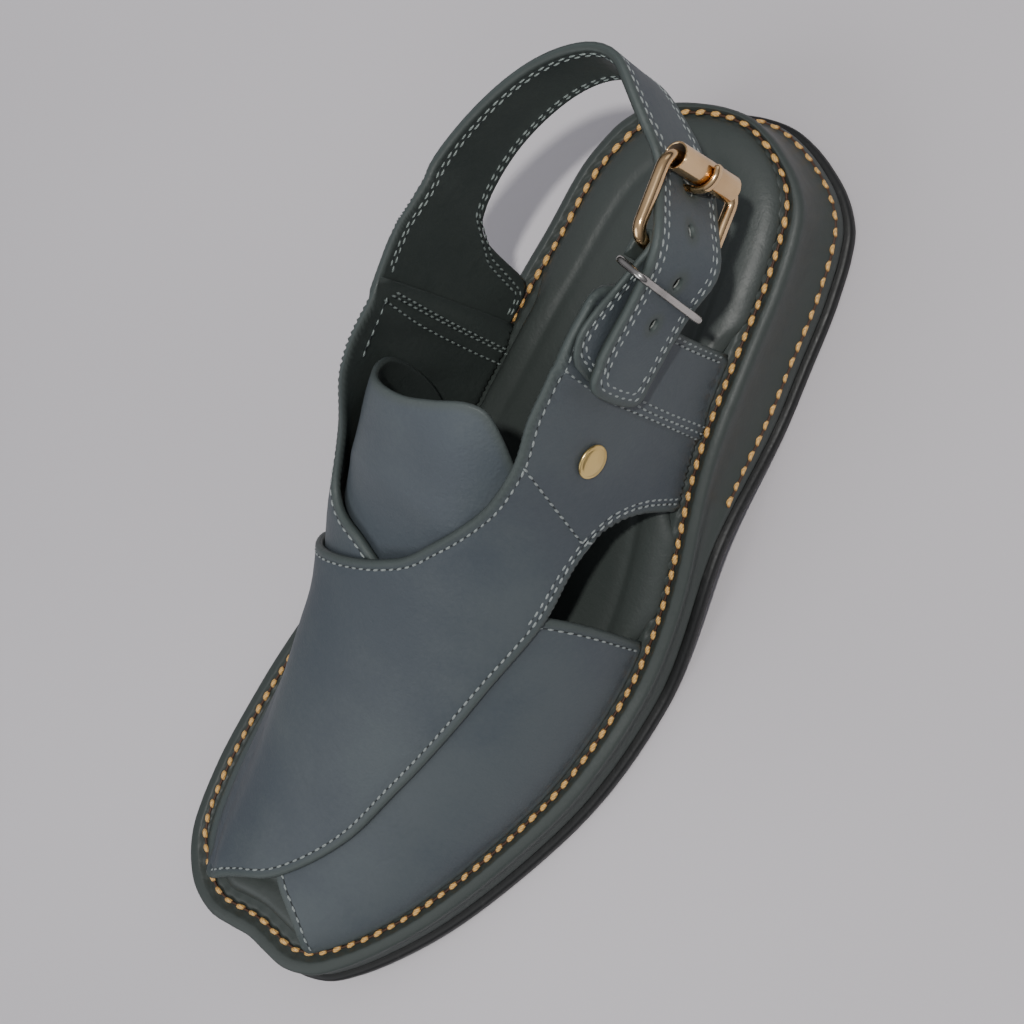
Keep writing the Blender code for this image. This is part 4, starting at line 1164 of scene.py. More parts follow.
# %% [markdown]
# ## A leather skin with folded edges
#
# A strap is a sheet of real thickness. A plain Solidify leaves a square edge, but here leather and lining
# are folded and rubbed round, and the stitch rows press a groove beside the edge. So the sheet is filled
# with triangles on the chart, with extra rows of points close to its outline, and each point's lift depends
# on its distance from the edge: the two faces meet in a half round.

# %% Skin
EDGE_ROWS = (0.00016, 0.00045, 0.0009, 0.0014, 0.0021, 0.0028, 0.0036)
# How far the two faces bend towards each other, as shares of half the thickness
HOLE_ROUND, EDGE_ROUND = 0.25, 0.62


def inset_points(surface, outline, distance):
    """Chart points that lie a real distance inside an outline on a surface."""
    step = 0.0002
    here, normal = surface(outline)
    by_first = (surface(outline + (step, 0))[0] - here) / step
    by_second = (surface(outline + (0, step))[0] - here) / step
    along = np.roll(here, -1, axis=0) - np.roll(here, 1, axis=0)
    along /= np.linalg.norm(along, axis=1, keepdims=True)
    inwards = np.cross(normal, along)
    facing = np.einsum("ij,ij->i", np.cross(by_first, by_second), normal).mean()
    inwards *= 1 if signed_area(outline) * facing > 0 else -1
    a, b, c = (by_first**2).sum(1), (by_first * by_second).sum(1), (by_second**2).sum(1)
    p, q = (by_first * inwards).sum(1), (by_second * inwards).sum(1)
    found = np.stack([c * p - b * q, a * q - b * p], axis=1) / (a * c - b * b)[:, None]
    return outline + found * distance


# %% Points and triangles of a skin
def charted(surface, outlines, spacing, lines=()):
    """Chart points and triangles inside the first outline and outside the others, with each point's
    distance from the nearest edge."""
    outlines = [line if signed_area(line) > 0 else line[::-1] for line in outlines]
    edges, faces, first = [], [], 0
    for outline in outlines:
        count = len(outline)
        faces.append([first + i for i in range(count)])
        edges += [(first + i, first + (i + 1) % count) for i in range(count)]
        first += count
    rims = [surface(outline)[0] for outline in outlines]

    def from_rims(points):
        places = surface(points)[0]
        return np.array([distance_many(places, rim, closed=True) for rim in rims])

    def from_edges(points):
        return from_rims(points).min(axis=0)

    def wanted(points):
        keep = inside_many(points, outlines[0])
        for hole in outlines[1:]:
            keep &= ~inside_many(points, hole)
        return keep

    extra = []
    for i, outline in enumerate(outlines):
        for distance in EDGE_ROWS:
            row = inset_points(surface, outline, distance if i == 0 else -distance)
            row = row[wanted(row)]
            if len(row):
                extra.append(row[from_edges(row) > 0.85 * distance])
    for line, offsets in lines:
        for offset in offsets:
            row = line + offset
            row = row[wanted(row)]
            extra.append(row[from_edges(row) > EDGE_ROWS[-1]])
    low, high = outlines[0].min(axis=0), outlines[0].max(axis=0)
    grid = []
    for row, x in enumerate(np.arange(low[0], high[0], spacing * 0.87)):
        along = np.arange(low[1] + (row % 2) * spacing / 2, high[1], spacing)
        grid.append(np.stack([np.full(len(along), x), along], axis=1))
    grid = np.concatenate(grid)
    grid = grid[wanted(grid)]
    grid = grid[from_edges(grid) > EDGE_ROWS[-1] + 0.4 * spacing]
    extra.append(grid)
    points = np.concatenate(outlines + extra)
    verts, _, tris, _, _, owners = delaunay_2d_cdt(
        [Vector(point / spacing) for point in points], edges, faces, 0, 1e-5
    )
    chart = np.array([vert[:2] for vert in verts]) * spacing
    tris = [tuple(tri) for tri, owner in zip(tris, owners) if set(owner) == {0}]
    return chart, tris, from_rims(chart)


# %% Skin between two faces
def skin(name, surface, outlines, outer, inner, finishes, spacing=SKIN_SPACING, groove=None, lines=()):
    """A closed sheet: outer and inner are functions that lift chart points off the surface."""
    chart, tris, from_rims = charted(surface, outlines, spacing, lines)
    away, by_hole = from_rims.min(axis=0), from_rims.argmin(axis=0) > 0
    base, normal = surface(chart)
    high, low = outer(chart), inner(chart)
    middle, half = (high + low) / 2, (high - low) / 2
    roundness = half * np.where(by_hole, HOLE_ROUND, EDGE_ROUND)
    bend = np.sqrt(1 - np.clip((roundness - away) / roundness, 0, 0.985) ** 2)
    high, low = middle + half * bend, middle - half * bend
    if groove is not None:
        high = high + groove(chart, away)
    points = np.concatenate([base + normal * high[:, None], base + normal * low[:, None]])
    count = len(chart)
    faces = tris + [tuple(count + i for i in reversed(tri)) for tri in tris]
    kinds = [0] * len(tris) + [1] * len(tris)
    sides = {}
    for tri in tris:
        for start, end in zip(tri, tri[1:] + tri[:1]):
            sides.setdefault(frozenset((start, end)), []).append((start, end))
    for found in sides.values():
        if len(found) == 1:
            start, end = found[0]
            faces.append((end, start, count + start, count + end))
            # Hole walls take the fourth finish: pale cut leather, partly a painted glint.
            kinds.append(3 if by_hole[start] else 2)
    edge_mm = np.concatenate([away, away]) * 1000
    made = piece(name, points, faces, finishes, kinds, {"from_edge": edge_mm})
    return tidy_loose(made)


def tidy_loose(made):
    edited = bmesh.new()
    edited.from_mesh(made.data)
    bmesh.ops.delete(edited, geom=[vert for vert in edited.verts if not vert.link_faces], context="VERTS")
    bmesh.ops.recalc_face_normals(edited, faces=edited.faces)
    edited.to_mesh(made.data)
    edited.free()
    return made


# %% Groove beside the edge
STITCH_INSET = 0.0026
ROLL_HEIGHT = 0.00012


def ridge(away, at, width):
    """1 at a distance, and down to 0 on both sides of it."""
    return np.exp(-(((away - at) / width) ** 2))


def edge_groove(depth=0.00028, at=STITCH_INSET):
    """A pressed line beside the edge, and the small roll of leather outside it."""

    def made(_, away):
        return ROLL_HEIGHT * ridge(away, 0.0013, 0.0007) - depth * ridge(away, at, 0.00055)

    return made


# %% [markdown]
# ## The two crossed straps
#
# The lower strap runs from the inner quarter to the outer toe, and the top strap crosses it and becomes the
# outer quarter, which closes with a lapped seam. In the solid they are one wall with a step. Here they are
# two sheets, and the top one rides up over the lower one and settles back on the last beyond it.

# %% Lifts of the straps
TOP_REGION, UNDER_REGION, SEAM_LINE, BACK_QUARTER = strap_regions()
LAP = 0.024
WAIST_DEPTH = 0.0034
LINING_GAP = 0.00012


def over_under(chart):
    """How far the top strap is raised by the one below it, 0 to 1."""
    away = np.where(
        inside_many(chart, UNDER_REGION), 0.0, distance_many(chart, UNDER_REGION, closed=True)
    )
    return smooth(1 - away / LAP)


def lapped(chart):
    """The back quarter's step over the seam, 0 to 1."""
    away = distance_many(chart, SEAM_LINE)
    behind = inside_many(chart, BACK_QUARTER)
    step = smooth(0.5 + np.where(behind, away, -away) / 0.0009)
    return step * smooth(1.15 - away / SEAM_FADE)


def waist(chart):
    """How far the inner side of the forefoot leans in above the welt, which shows its stitches."""
    along, around = chart[:, 0] / STITCH_LENGTH, chart[:, 1] / AROUND_SCALE
    over = smooth((1.0 + around) / 0.10) * smooth((-0.30 - around) / 0.30)
    return WAIST_DEPTH * over * smooth((along - 0.008) / 0.03) * smooth((0.47 - along) / 0.12)


def top_outer(chart):
    return WALL + WALL * over_under(chart) + SEAM_RISE * lapped(chart) - waist(chart)


def top_inner(chart):
    return (WALL + LINING_GAP) * over_under(chart) - waist(chart)


def under_outer(chart):
    return WALL - waist(chart)


# %% [markdown]
# Leather that has been worn folds where the foot bends. Each fold is listed: its two ends on the
# last, its depth and its width. The lining behind the tongue has the two deep ones that the lamp catches.

# %% Folds
# Columns: along and around at its start, and at its end; depth; width
LINING_FOLDS = (
    (0.585, -0.60, 0.640, -0.80, 0.0011, 0.0045),
    (0.575, -0.74, 0.615, -0.93, 0.0009, 0.0050),
    (0.640, -0.66, 0.672, -0.86, -0.0006, 0.0060),
)
VAMP_FOLDS = (
    (0.150, 0.78, 0.260, 0.70, 0.00022, 0.0040),
    (0.210, 0.86, 0.330, 0.78, 0.00018, 0.0036),
    (0.300, -0.30, 0.360, -0.05, 0.00016, 0.0050),
    (0.420, 0.62, 0.470, 0.80, 0.00020, 0.0045),
)


def folded(chart, folds):
    lift = np.zeros(len(chart))
    for along, around, to_along, to_around, depth, width in folds:
        ends = np.array([(along, around), (to_along, to_around)]) * (STITCH_LENGTH, AROUND_SCALE)
        away = distance_many(chart, ends)
        lift += depth * (np.exp(-((away / width) ** 2)) - 0.5 * np.exp(-((away / width / 2) ** 2)))
    return lift


def under_inner(chart):
    """The folds, and a skived end that meets the heel strap without a step."""
    along = chart[:, 0] / STITCH_LENGTH
    skived = 0.86 * WALL * smooth((along - 0.676) / 0.030)
    return skived - folded(chart, LINING_FOLDS) * smooth((along - 0.52) / 0.05) - waist(chart)


# %% Sew the straps
OVERLAY_LINE = on_chart(((0.626, 0.472), (0.580, 0.655), (0.594, 0.715), (0.600, 0.745)), curved=False)


def top_groove(chart, away):
    seam = distance_many(chart, OVERLAY_LINE)
    pressed = edge_groove()(chart, away) - 0.0002 * ridge(seam, 0.0, 0.0006)
    return pressed + folded(chart, VAMP_FOLDS)


def under_groove(chart, away):
    return edge_groove()(chart, away) + folded(chart, VAMP_FOLDS)


STRAP_FINISHES = [UPPER_LEATHER, LINING_LEATHER, EDGE_LEATHER, RAW_LEATHER_AND_GLINT]
# Extra rows of points along the seams: a line, and the steps beside it
SEAM_DETAIL = (
    (SEAM_LINE, ((-0.0005, 0.0), (0.0005, 0.0), (0.0012, 0.0))),
    (OVERLAY_LINE, ((0.0, 0.0), (0.0007, 0.0))),
)
top_strap = skin(
    "top_strap", last_frame, [TOP_REGION], top_outer, top_inner, STRAP_FINISHES,
    groove=top_groove, lines=SEAM_DETAIL,
)
settle(top_strap, "upper_leather", "upper")
under_strap = skin(
    "under_strap", last_frame, [UNDER_REGION], under_outer, under_inner, STRAP_FINISHES,
    groove=under_groove,
)
settle(under_strap, "upper_leather", "upper")

# %% [markdown]
# ## Tongue
#
# A soft flap behind the throat. It lies a little inside the straps, with a turned edge all round.

# %% Tongue
TONGUE_REGION = spaced(
    curve_through(np.array(TONGUE_EDGE) * (STITCH_LENGTH, AROUND_SCALE), closed=True), 170, closed=True
)
tongue = skin(
    "tongue_flap",
    tongue_frame,
    [TONGUE_REGION],
    lambda chart: np.full(len(chart), TONGUE_WALL),
    lambda chart: np.zeros(len(chart)),
    [LIT_TONGUE_LEATHER] + STRAP_FINISHES[1:],
)
settle(tongue, "upper_leather", "tongue")

# %% [markdown]
# ## Heel strap and inner quarter
#
# One leather: it stands on the sole as the inner quarter, narrows to the strap, runs round the heel, goes
# through the buckle and ends on the outer quarter. Its surface is a grid of stations, each a row of points
# from its lower to its upper edge. A `Ribbon` turns such a grid into a surface with a flat chart: metres
# along its middle, and metres across from there.

# %% Ribbon
def grid_normals(grid):
    """Unit normals of a grid of points, pointing away from the foot."""
    along = np.gradient(grid, axis=0)
    across = np.gradient(grid, axis=1)
    normal = np.cross(across, along)
    normal /= np.linalg.norm(normal, axis=2, keepdims=True)
    return normal


class Ribbon:
    """The inner face of a strap, called with chart places like the last's surface."""

    def __init__(self, grid):
        self.grid, self.normals, self.rows = grid, grid_normals(grid), grid.shape[1]
        self.middle = grid[:, self.rows // 2]
        self.run = np.concatenate([[0], np.cumsum(np.linalg.norm(np.diff(self.middle, axis=0), axis=1))])
        self.width = np.linalg.norm(np.diff(grid, axis=1), axis=2).sum(axis=1)
        self.end = self.run[-1]

    def __call__(self, chart):
        station = np.interp(chart[:, 0], self.run, np.arange(len(self.run)))
        share = 0.5 + chart[:, 1] / np.interp(chart[:, 0], self.run, self.width)
        row = share * (self.rows - 1)
        i = np.clip(station.astype(int), 0, len(self.run) - 2)
        k = np.clip(np.floor(row).astype(int), 0, self.rows - 2)
        u, v = (station - i)[:, None], (row - k)[:, None]
        beyond = np.clip(chart[:, 0] - self.end, 0, None)[:, None] + np.clip(chart[:, 0], None, 0)[:, None]
        ahead = self.grid[i + 1, k] - self.grid[i, k]
        ahead /= np.linalg.norm(ahead, axis=1, keepdims=True)

        def blend(values):
            near = values[i, k] * (1 - v) + values[i, k + 1] * v
            return near * (1 - u) + (values[i + 1, k] * (1 - v) + values[i + 1, k + 1] * v) * u

        normal = blend(self.normals)
        return blend(self.grid) + ahead * beyond, normal / np.linalg.norm(normal, axis=1, keepdims=True)

    def side(self, share, first=0.0, last=None, inset=0.0, count=None):
        """A chart line along the ribbon, at a share of its half width less an inset."""
        last = self.end if last is None else last
        run = np.linspace(first, last, count or max(2, round(abs(last - first) / 0.0022)))
        half = np.interp(run, self.run, self.width) / 2
        return np.stack([run, share * half - np.sign(share) * inset], axis=1)


# %% Stations of the heel strap
# Stations beside the buckle, where the leather spreads: how much wider it is than the solid's
SPREAD = {9: 0.07, 10: 0.12}
STATION_STEPS = 14
SETTLING = 40


def quarter_point(along, height):
    """The medial quarter's inner face, on the upper at its front and level with the strap at its back."""
    around = np.linspace(-1.0, -0.15, 60)
    wall = on_last(np.full(60, along), around, WALL + 1.4 * GAP)
    share = smooth((along - 0.71) / 0.11)
    across = np.interp(height, wall[:, 2], wall[:, 0])
    return np.array([across * (1 - share) + QUARTER_END * share, y_at(along), height])


def strap_grid():
    """The heel strap's inner face as stations along it, each a row of points from its lower edge up."""
    shares = np.linspace(0, 1, STRAP_ROWS)
    stations = []
    for along, low, along_up, high in QUARTER_ROWS:
        low = max(low * STRAP_TOP, float(platform_top(y_at(along))) + GAP)
        rise = high * STRAP_TOP - low
        stations.append(
            [quarter_point(along + share * (along_up - along), low + share * rise) for share in shares]
        )
    for number, (across, along, height, lean_across, lean_along, width) in enumerate(STRAP_COURSE):
        width += SPREAD.get(number, 0.0)
        middle = np.array([across * STITCH_HALF_WIDTH, y_at(along), height * STRAP_TOP])
        lean = np.array([lean_across, lean_along, math.sqrt(1 - lean_across**2 - lean_along**2)])
        stations.append([middle + lean * STRAP_WIDTH * width * (share - 0.5) for share in shares])
    for along, around_low, around_up in TIP_ROWS:
        around = around_low + shares * (around_up - around_low)
        stations.append(list(on_last(np.full(STRAP_ROWS, along), around, TIP_LIFT)))
    rows = np.array(stations).reshape(len(stations), -1)
    straight = spaced(rows[: QUARTER_STRAIGHT + 1], 10)[:-1]
    flat = np.concatenate([straight, curve_through(rows[QUARTER_STRAIGHT:], steps=STATION_STEPS)])
    for _ in range(SETTLING):
        flat[8:-1] = flat[8:-1] / 2 + (flat[7:-2] + flat[9:]) / 4
    return flat.reshape(len(flat), STRAP_ROWS, 3)


STRAP = Ribbon(strap_grid())
print("heel strap:", round(STRAP.end * 1000), "mm from the seam to its tip")

# %% The buckle's own axes
BUCKLE_AHEAD = (ROLLER - HINGE) / BUCKLE_REACH
BUCKLE_ACROSS = np.array(BUCKLE_UP) - np.dot(BUCKLE_UP, BUCKLE_AHEAD) * BUCKLE_AHEAD
BUCKLE_ACROSS /= np.linalg.norm(BUCKLE_ACROSS)
BUCKLE_OUT = np.cross(BUCKLE_AHEAD, BUCKLE_ACROSS)
print("hinge to free bar:", round(BUCKLE_REACH * 1000, 1), "mm")


def buckle_point(along, up, out):
    """A point in the buckle's own axes, from the middle of its hinge."""
    return HINGE + along * BUCKLE_AHEAD + up * BUCKLE_ACROSS + out * BUCKLE_OUT


# %% Heel strap
# Columns of the tip: distance from its end, share of the width
STRAP_TIP = (
    (-0.0075, -0.5),
    (-0.0035, -0.48),
    (-0.0010, -0.40),
    (0.0, -0.22),
    (0.0, 0.22),
    (-0.0010, 0.40),
    (-0.0035, 0.48),
    (-0.0075, 0.5),
)
TIP_LENGTH = 0.009
tip = curve_through(np.array(STRAP_TIP) * (1.0, STRAP.width[-1]) + (STRAP.end, 0.0), steps=4)
STRAP_OUTLINE = joined(
    np.concatenate([STRAP.side(-1, 0, STRAP.end - TIP_LENGTH), tip[:1]]),
    spaced(tip, 26),
    np.concatenate([tip[-1:], STRAP.side(1, STRAP.end - TIP_LENGTH, 0)]),
    spaced([(0, STRAP.width[0] / 2), (0, -STRAP.width[0] / 2)], round(STRAP.width[0] / 0.0022)),
)
through = buckle_point(BUCKLE_REACH + PRONG_THROUGH[0], 0, PRONG_THROUGH[1])
PIERCED = STRAP.run[int(np.argmin(np.linalg.norm(STRAP.middle - through, axis=1)))]
STRAP_HOLES = [oval(PIERCED, 0.0046, 0.0056, 16)]
STRAP_HOLES += [oval(PIERCED + HOLE_PITCH * i, 0.0034, 0.0024, 14) for i in (1, 2, 3)]


def strap_groove(chart, _):
    """Two pressed lines along each edge of the strap, which don't turn round its holes."""
    edge = np.interp(chart[:, 0], STRAP.run, STRAP.width) / 2 - np.abs(chart[:, 1])
    rows = ridge(edge, 0.0024, 0.0005) + ridge(edge, 0.0042, 0.0005)
    return -0.00022 * rows + 0.00010 * ridge(edge, 0.0012, 0.0006)


def even(thickness):
    return lambda chart: np.full(len(chart), thickness)


heel_strap = skin(
    "heel_strap_leather", STRAP, [STRAP_OUTLINE] + STRAP_HOLES, even(STRAP_WALL), even(0.0), STRAP_FINISHES,
    spacing=0.0024, groove=strap_groove,
)
settle(heel_strap, "upper_leather", "heel_strap")

# %% [markdown]
# ## The small strap that holds the buckle
#
# It is sewn to the quarter with a round end, turns once round the buckle's hinge bar and comes back inside.
# Round the bar it has a slot for the prong.

# %% Small strap
def chape_grid():
    """The chape's inner face as stations along it, each a row of points from its upper edge down."""
    shares = np.linspace(0.5, -0.5, 7)
    stations = []
    for along, upper, lower in CHAPE_ROWS:
        around = (upper + lower) / 2 + (upper - lower) * shares
        stations.append(on_last(np.full(7, along), around, WALL + SEAM_RISE + GAP))
    radius = BUCKLE_WIRE / 2 + 1.6 * GAP
    at_hinge = np.array([buckle_point(0, CHAPE_WIDTH * share, radius) for share in shares])
    stations.append((stations[-1] + at_hinge) / 2)
    for turn in np.linspace(-8, 188, 9):
        angle = math.radians(turn)
        stations.append(
            [
                buckle_point(radius * math.sin(angle), CHAPE_WIDTH * share, radius * math.cos(angle))
                for share in shares
            ]
        )
    for back, out, width in CHAPE_RETURN:
        stations.append([buckle_point(-back, CHAPE_WIDTH * share * width, -out) for share in shares])
    return np.array(stations)


# %% Loop with round corners
def rounded_loop(length, width, radius, corner_steps=4):
    """A rectangle with round corners as (along, across) points about its middle."""
    loop = []
    for turn, sign_along, sign_across in ((0, 1, 1), (90, -1, 1), (180, -1, -1), (270, 1, -1)):
        for step in range(corner_steps + 1):
            angle = math.radians(turn + 90 * step / corner_steps)
            loop.append(
                (
                    sign_along * (length / 2 - radius) + radius * math.cos(angle),
                    sign_across * (width / 2 - radius) + radius * math.sin(angle),
                )
            )
    return loop


# %% Make the small strap
rows = chape_grid().reshape(-1, 21)
CHAPE = Ribbon(curve_through(rows, steps=5).reshape(-1, 7, 3))
CHAPE_OUTLINE = joined(
    CHAPE.side(-1),
    spaced(np.array([(CHAPE.end, -CHAPE.width[-1] / 2), (CHAPE.end, CHAPE.width[-1] / 2)]), 11),
    CHAPE.side(1, CHAPE.end, 0),
    spaced(np.array([(0, CHAPE.width[0] / 2), (0, -CHAPE.width[0] / 2)]), 4),
)
at_hinge = len(CHAPE_ROWS) * 5
slot_start, slot_end = CHAPE.run[at_hinge], CHAPE.run[at_hinge + 50]
slot = np.array(rounded_loop(slot_end - slot_start, CHAPE_WIDTH / 3, 0.0014, 3))
slot = spaced(slot + ((slot_start + slot_end) / 2, 0), 40, closed=True)
small_strap = skin(
    "buckle_strap_leather", CHAPE, [CHAPE_OUTLINE, slot], even(CHAPE_WALL), even(0.0), STRAP_FINISHES,
    spacing=0.0016, groove=edge_groove(0.00016, 0.0020),
)
settle(small_strap, "upper_leather", "buckle_strap")

# %% [markdown]
# ## Buckle, keeper and stud
#
# Wires are swept ovals with rounded ends, and turned parts are profiles spun round an axis. Both come from
# the buckle's own axes, so the frame, the roller and the prong share one hinge and one free bar.

# %% Swept bar
def bar(name, path, half_out, half_side, side, finish, sides=24, closed=False):
    """A bar along a path with an oval section; half_side is its half size along side."""
    path = np.array(path, float)
    ahead = np.roll(path, -1, axis=0) - np.roll(path, 1, axis=0) if closed else np.gradient(path, axis=0)
    ahead /= np.linalg.norm(ahead, axis=1, keepdims=True)
    out = np.cross(np.broadcast_to(side, path.shape), ahead)
    out /= np.linalg.norm(out, axis=1, keepdims=True)
    across = np.cross(ahead, out)
    taper = np.ones(len(path))
    if not closed:
        run = np.concatenate([[0], np.cumsum(np.linalg.norm(np.diff(path, axis=0), axis=1))])
        ends = np.minimum(run, run[-1] - run) / half_out
        taper = np.sqrt(1 - np.clip(1 - ends, 0, 0.95) ** 2)
    turns = np.arange(sides) * 2 * math.pi / sides
    rings = path[:, None] + out[:, None] * (taper * half_out)[:, None, None] * np.cos(turns)[:, None]
    rings = rings + across[:, None] * (taper * half_side)[:, None, None] * np.sin(turns)[:, None]
    faces = []
    for i in range(len(path) if closed else len(path) - 1):
        j = (i + 1) % len(path)
        for k in range(sides):
            n = (k + 1) % sides
            faces.append((i * sides + k, i * sides + n, j * sides + n, j * sides + k))
    if not closed:
        faces += [tuple(range(sides))[::-1], tuple((len(path) - 1) * sides + k for k in range(sides))]
    return outwards(piece(name, rings.reshape(-1, 3), faces, [finish]), 1e-7)


# %% Turned part
def turned(name, centre, axis, first, profile, finishes, kinds=None, closed=False, sides=72, mark=None):
    """A profile of (radius, height) spun round an axis; mark moves the radius at each angle."""
    second = np.cross(axis, first)
    turns = np.arange(sides) * 2 * math.pi / sides
    points = []
    for number, (radius, height) in enumerate(profile):
        radii = radius + (mark(number, turns) if mark else 0.0) * np.ones(sides)
        spokes = np.cos(turns)[:, None] * first + np.sin(turns)[:, None] * second
        points.append(centre + height * np.asarray(axis) + radii[:, None] * spokes)
    faces, slots = [], []
    for i in range(len(profile) if closed else len(profile) - 1):
        j = (i + 1) % len(profile)
        for k in range(sides):
            n = (k + 1) % sides
            faces.append((i * sides + k, i * sides + n, j * sides + n, j * sides + k))
            slots.append(kinds[i] if kinds else 0)
    if not closed:
        faces += [tuple(range(sides))[::-1], tuple((len(profile) - 1) * sides + k for k in range(sides))]
        slots += [0, 0]
    return outwards(piece(name, np.concatenate(points), faces, finishes, slots), 1e-7)


# %% Frame and roller
loop = rounded_loop(BUCKLE_REACH, BUCKLE_WIDTH + BUCKLE_WIRE, 0.0042, 12)
path = spaced([buckle_point(along + BUCKLE_REACH / 2, across, 0) for along, across in loop], 140, closed=True)
wire = BUCKLE_WIRE / 2
buckle_wire = bar("buckle_wire", path, wire, wire, BUCKLE_OUT, ROSE_METAL, closed=True)
settle(buckle_wire, "rose_metal", "buckle_frame")

reach, outer = BUCKLE_WIDTH / 2 - 0.0012, ROLLER_DIAMETER / 2
inner = outer - 0.7 * ROLLER_WALL
corner = 0.00022
ROLLER_SEAM_AT = math.radians(18)
ROLLER_PROFILE = [(inner, -reach)]
for turn in np.radians((0, 22, 45, 68, 90)):
    radius = outer - corner + corner * math.sin(turn)
    ROLLER_PROFILE.append((radius, -reach + corner - corner * math.cos(turn)))
ROLLER_PROFILE += [(radius, -height) for radius, height in reversed(ROLLER_PROFILE)]


def roller_seam(number, turns):
    """The closed seam of the rolled tube, a fine groove along it."""
    away = (turns - ROLLER_SEAM_AT + math.pi) % (2 * math.pi) - math.pi
    return -0.00016 * ridge(away, 0.0, 0.07) if 2 < number < 9 else np.zeros(len(turns))


# The bore of the tube takes the second finish: painted shade inside it.
roller = turned(
    "buckle_roller_tube", ROLLER, BUCKLE_ACROSS, BUCKLE_OUT, ROLLER_PROFILE, [ROSE_METAL, DARK_METAL],
    [0] * (len(ROLLER_PROFILE) - 1) + [1], closed=True, mark=roller_seam,
)
settle(roller, "rose_metal", "buckle_roller")

# %% Prong
curl = BUCKLE_WIRE / 2 + GAP + PRONG_THICKNESS / 2
path = [(curl * math.sin(turn), curl * math.cos(turn)) for turn in np.radians(np.arange(-250, 91, 24))]
path += [(share * BUCKLE_REACH + on, out) for share, on, out in PRONG_ARM]
path = spaced(curve_through(path, steps=8), 190)
path = [buckle_point(along, 0, out) for along, out in path]
prong = bar("buckle_prong_bar", path, PRONG_HALF_DEPTH, PRONG_HALF_WIDTH, BUCKLE_ACROSS, ROSE_METAL)
settle(prong, "rose_metal", "buckle_prong")

# %% Keeper and stud
keeper_up, keeper_ahead = np.array(KEEPER_UP), np.array(KEEPER_AHEAD)
keeper_out = np.cross(keeper_ahead, keeper_up)
loop = rounded_loop(KEEPER_DEPTH, KEEPER_WIDTH, 0.0026, 10)
path = spaced([KEEPER_MIDDLE + keeper_out * a + keeper_up * b for a, b in loop], 120, closed=True)
wire = KEEPER_WIRE / 2
keeper = bar("keeper_wire", path, wire, wire, keeper_ahead, STEEL, sides=20, closed=True)
settle(keeper, "steel", "keeper_loop")

# Columns: share of its radius; share of its height
STUD_TURNED = (
    (0.0, 0.0), (0.90, 0.0), (0.97, 0.08), (1.0, 0.24), (0.99, 0.42),
    (0.95, 0.56), (0.90, 0.60), (0.855, 0.56), (0.83, 0.58), (0.79, 0.70),
    (0.70, 0.80), (0.56, 0.90), (0.38, 0.97), (0.18, 1.0), (0.0, 1.0),
)
stud_place = np.array([(STUD_ALONG * STITCH_LENGTH, STUD_AROUND * AROUND_SCALE)])
base, normal = (part[0] for part in last_frame(stud_place))
sideways = np.cross(normal, (0, 0, 1.0))
sideways /= np.linalg.norm(sideways)
stud_profile = [
    (max(share, 0.01) * STUD_DIAMETER / 2, WALL + GAP + height * STUD_HEIGHT)
    for share, height in STUD_TURNED
]
stud = turned("stud_cap", base, normal, sideways, stud_profile, [STUD_BRASS], sides=48)
settle(stud, "stud_brass", "snap_stud")

# %% [markdown]
# ## Sewing with Geometry Nodes
#
# A row of stitches is a guide line on the leather. The tree turns each guide into a curve, lays one bent
# ball on each of its points, turns it along the row, and gives it a slight turn and size of its own. A
# thin dark tube runs underneath: painted shade in the stitch groove, which along the welt is also its brown
# lower thread. The ball keeps its own first coordinates as `grain` for the thread's twist. The tree ends in
# plain geometry, which is copied to a mesh of its own.

# %% Stitch tree
class Tree:
    """A Geometry Nodes tree whose nodes are added with their settings and inputs."""

    def __init__(self, name, inputs):
        self.group = bpy.data.node_groups.new(name, "GeometryNodeTree")
        self.sockets = {}
        for label, kind in (("Geometry", "NodeSocketGeometry"),) + inputs:
            made = self.group.interface.new_socket(label, in_out="INPUT", socket_type=kind)
            self.sockets[label] = made.identifier
        self.group.interface.new_socket("Geometry", in_out="OUTPUT", socket_type="NodeSocketGeometry")
        self.start = self.group.nodes.new("NodeGroupInput").outputs

    def add(self, kind, settings=None, inputs=None, output=0):
        node = self.group.nodes.new(kind)
        for key, value in (settings or {}).items():
            setattr(node, key, value)
        for key, value in (inputs or {}).items():
            for one in value if isinstance(value, list) else [value]:
                if isinstance(one, bpy.types.NodeSocket):
                    self.group.links.new(one, node.inputs[key])
                else:
                    node.inputs[key].default_value = one
        return node.outputs[output] if node.outputs else node


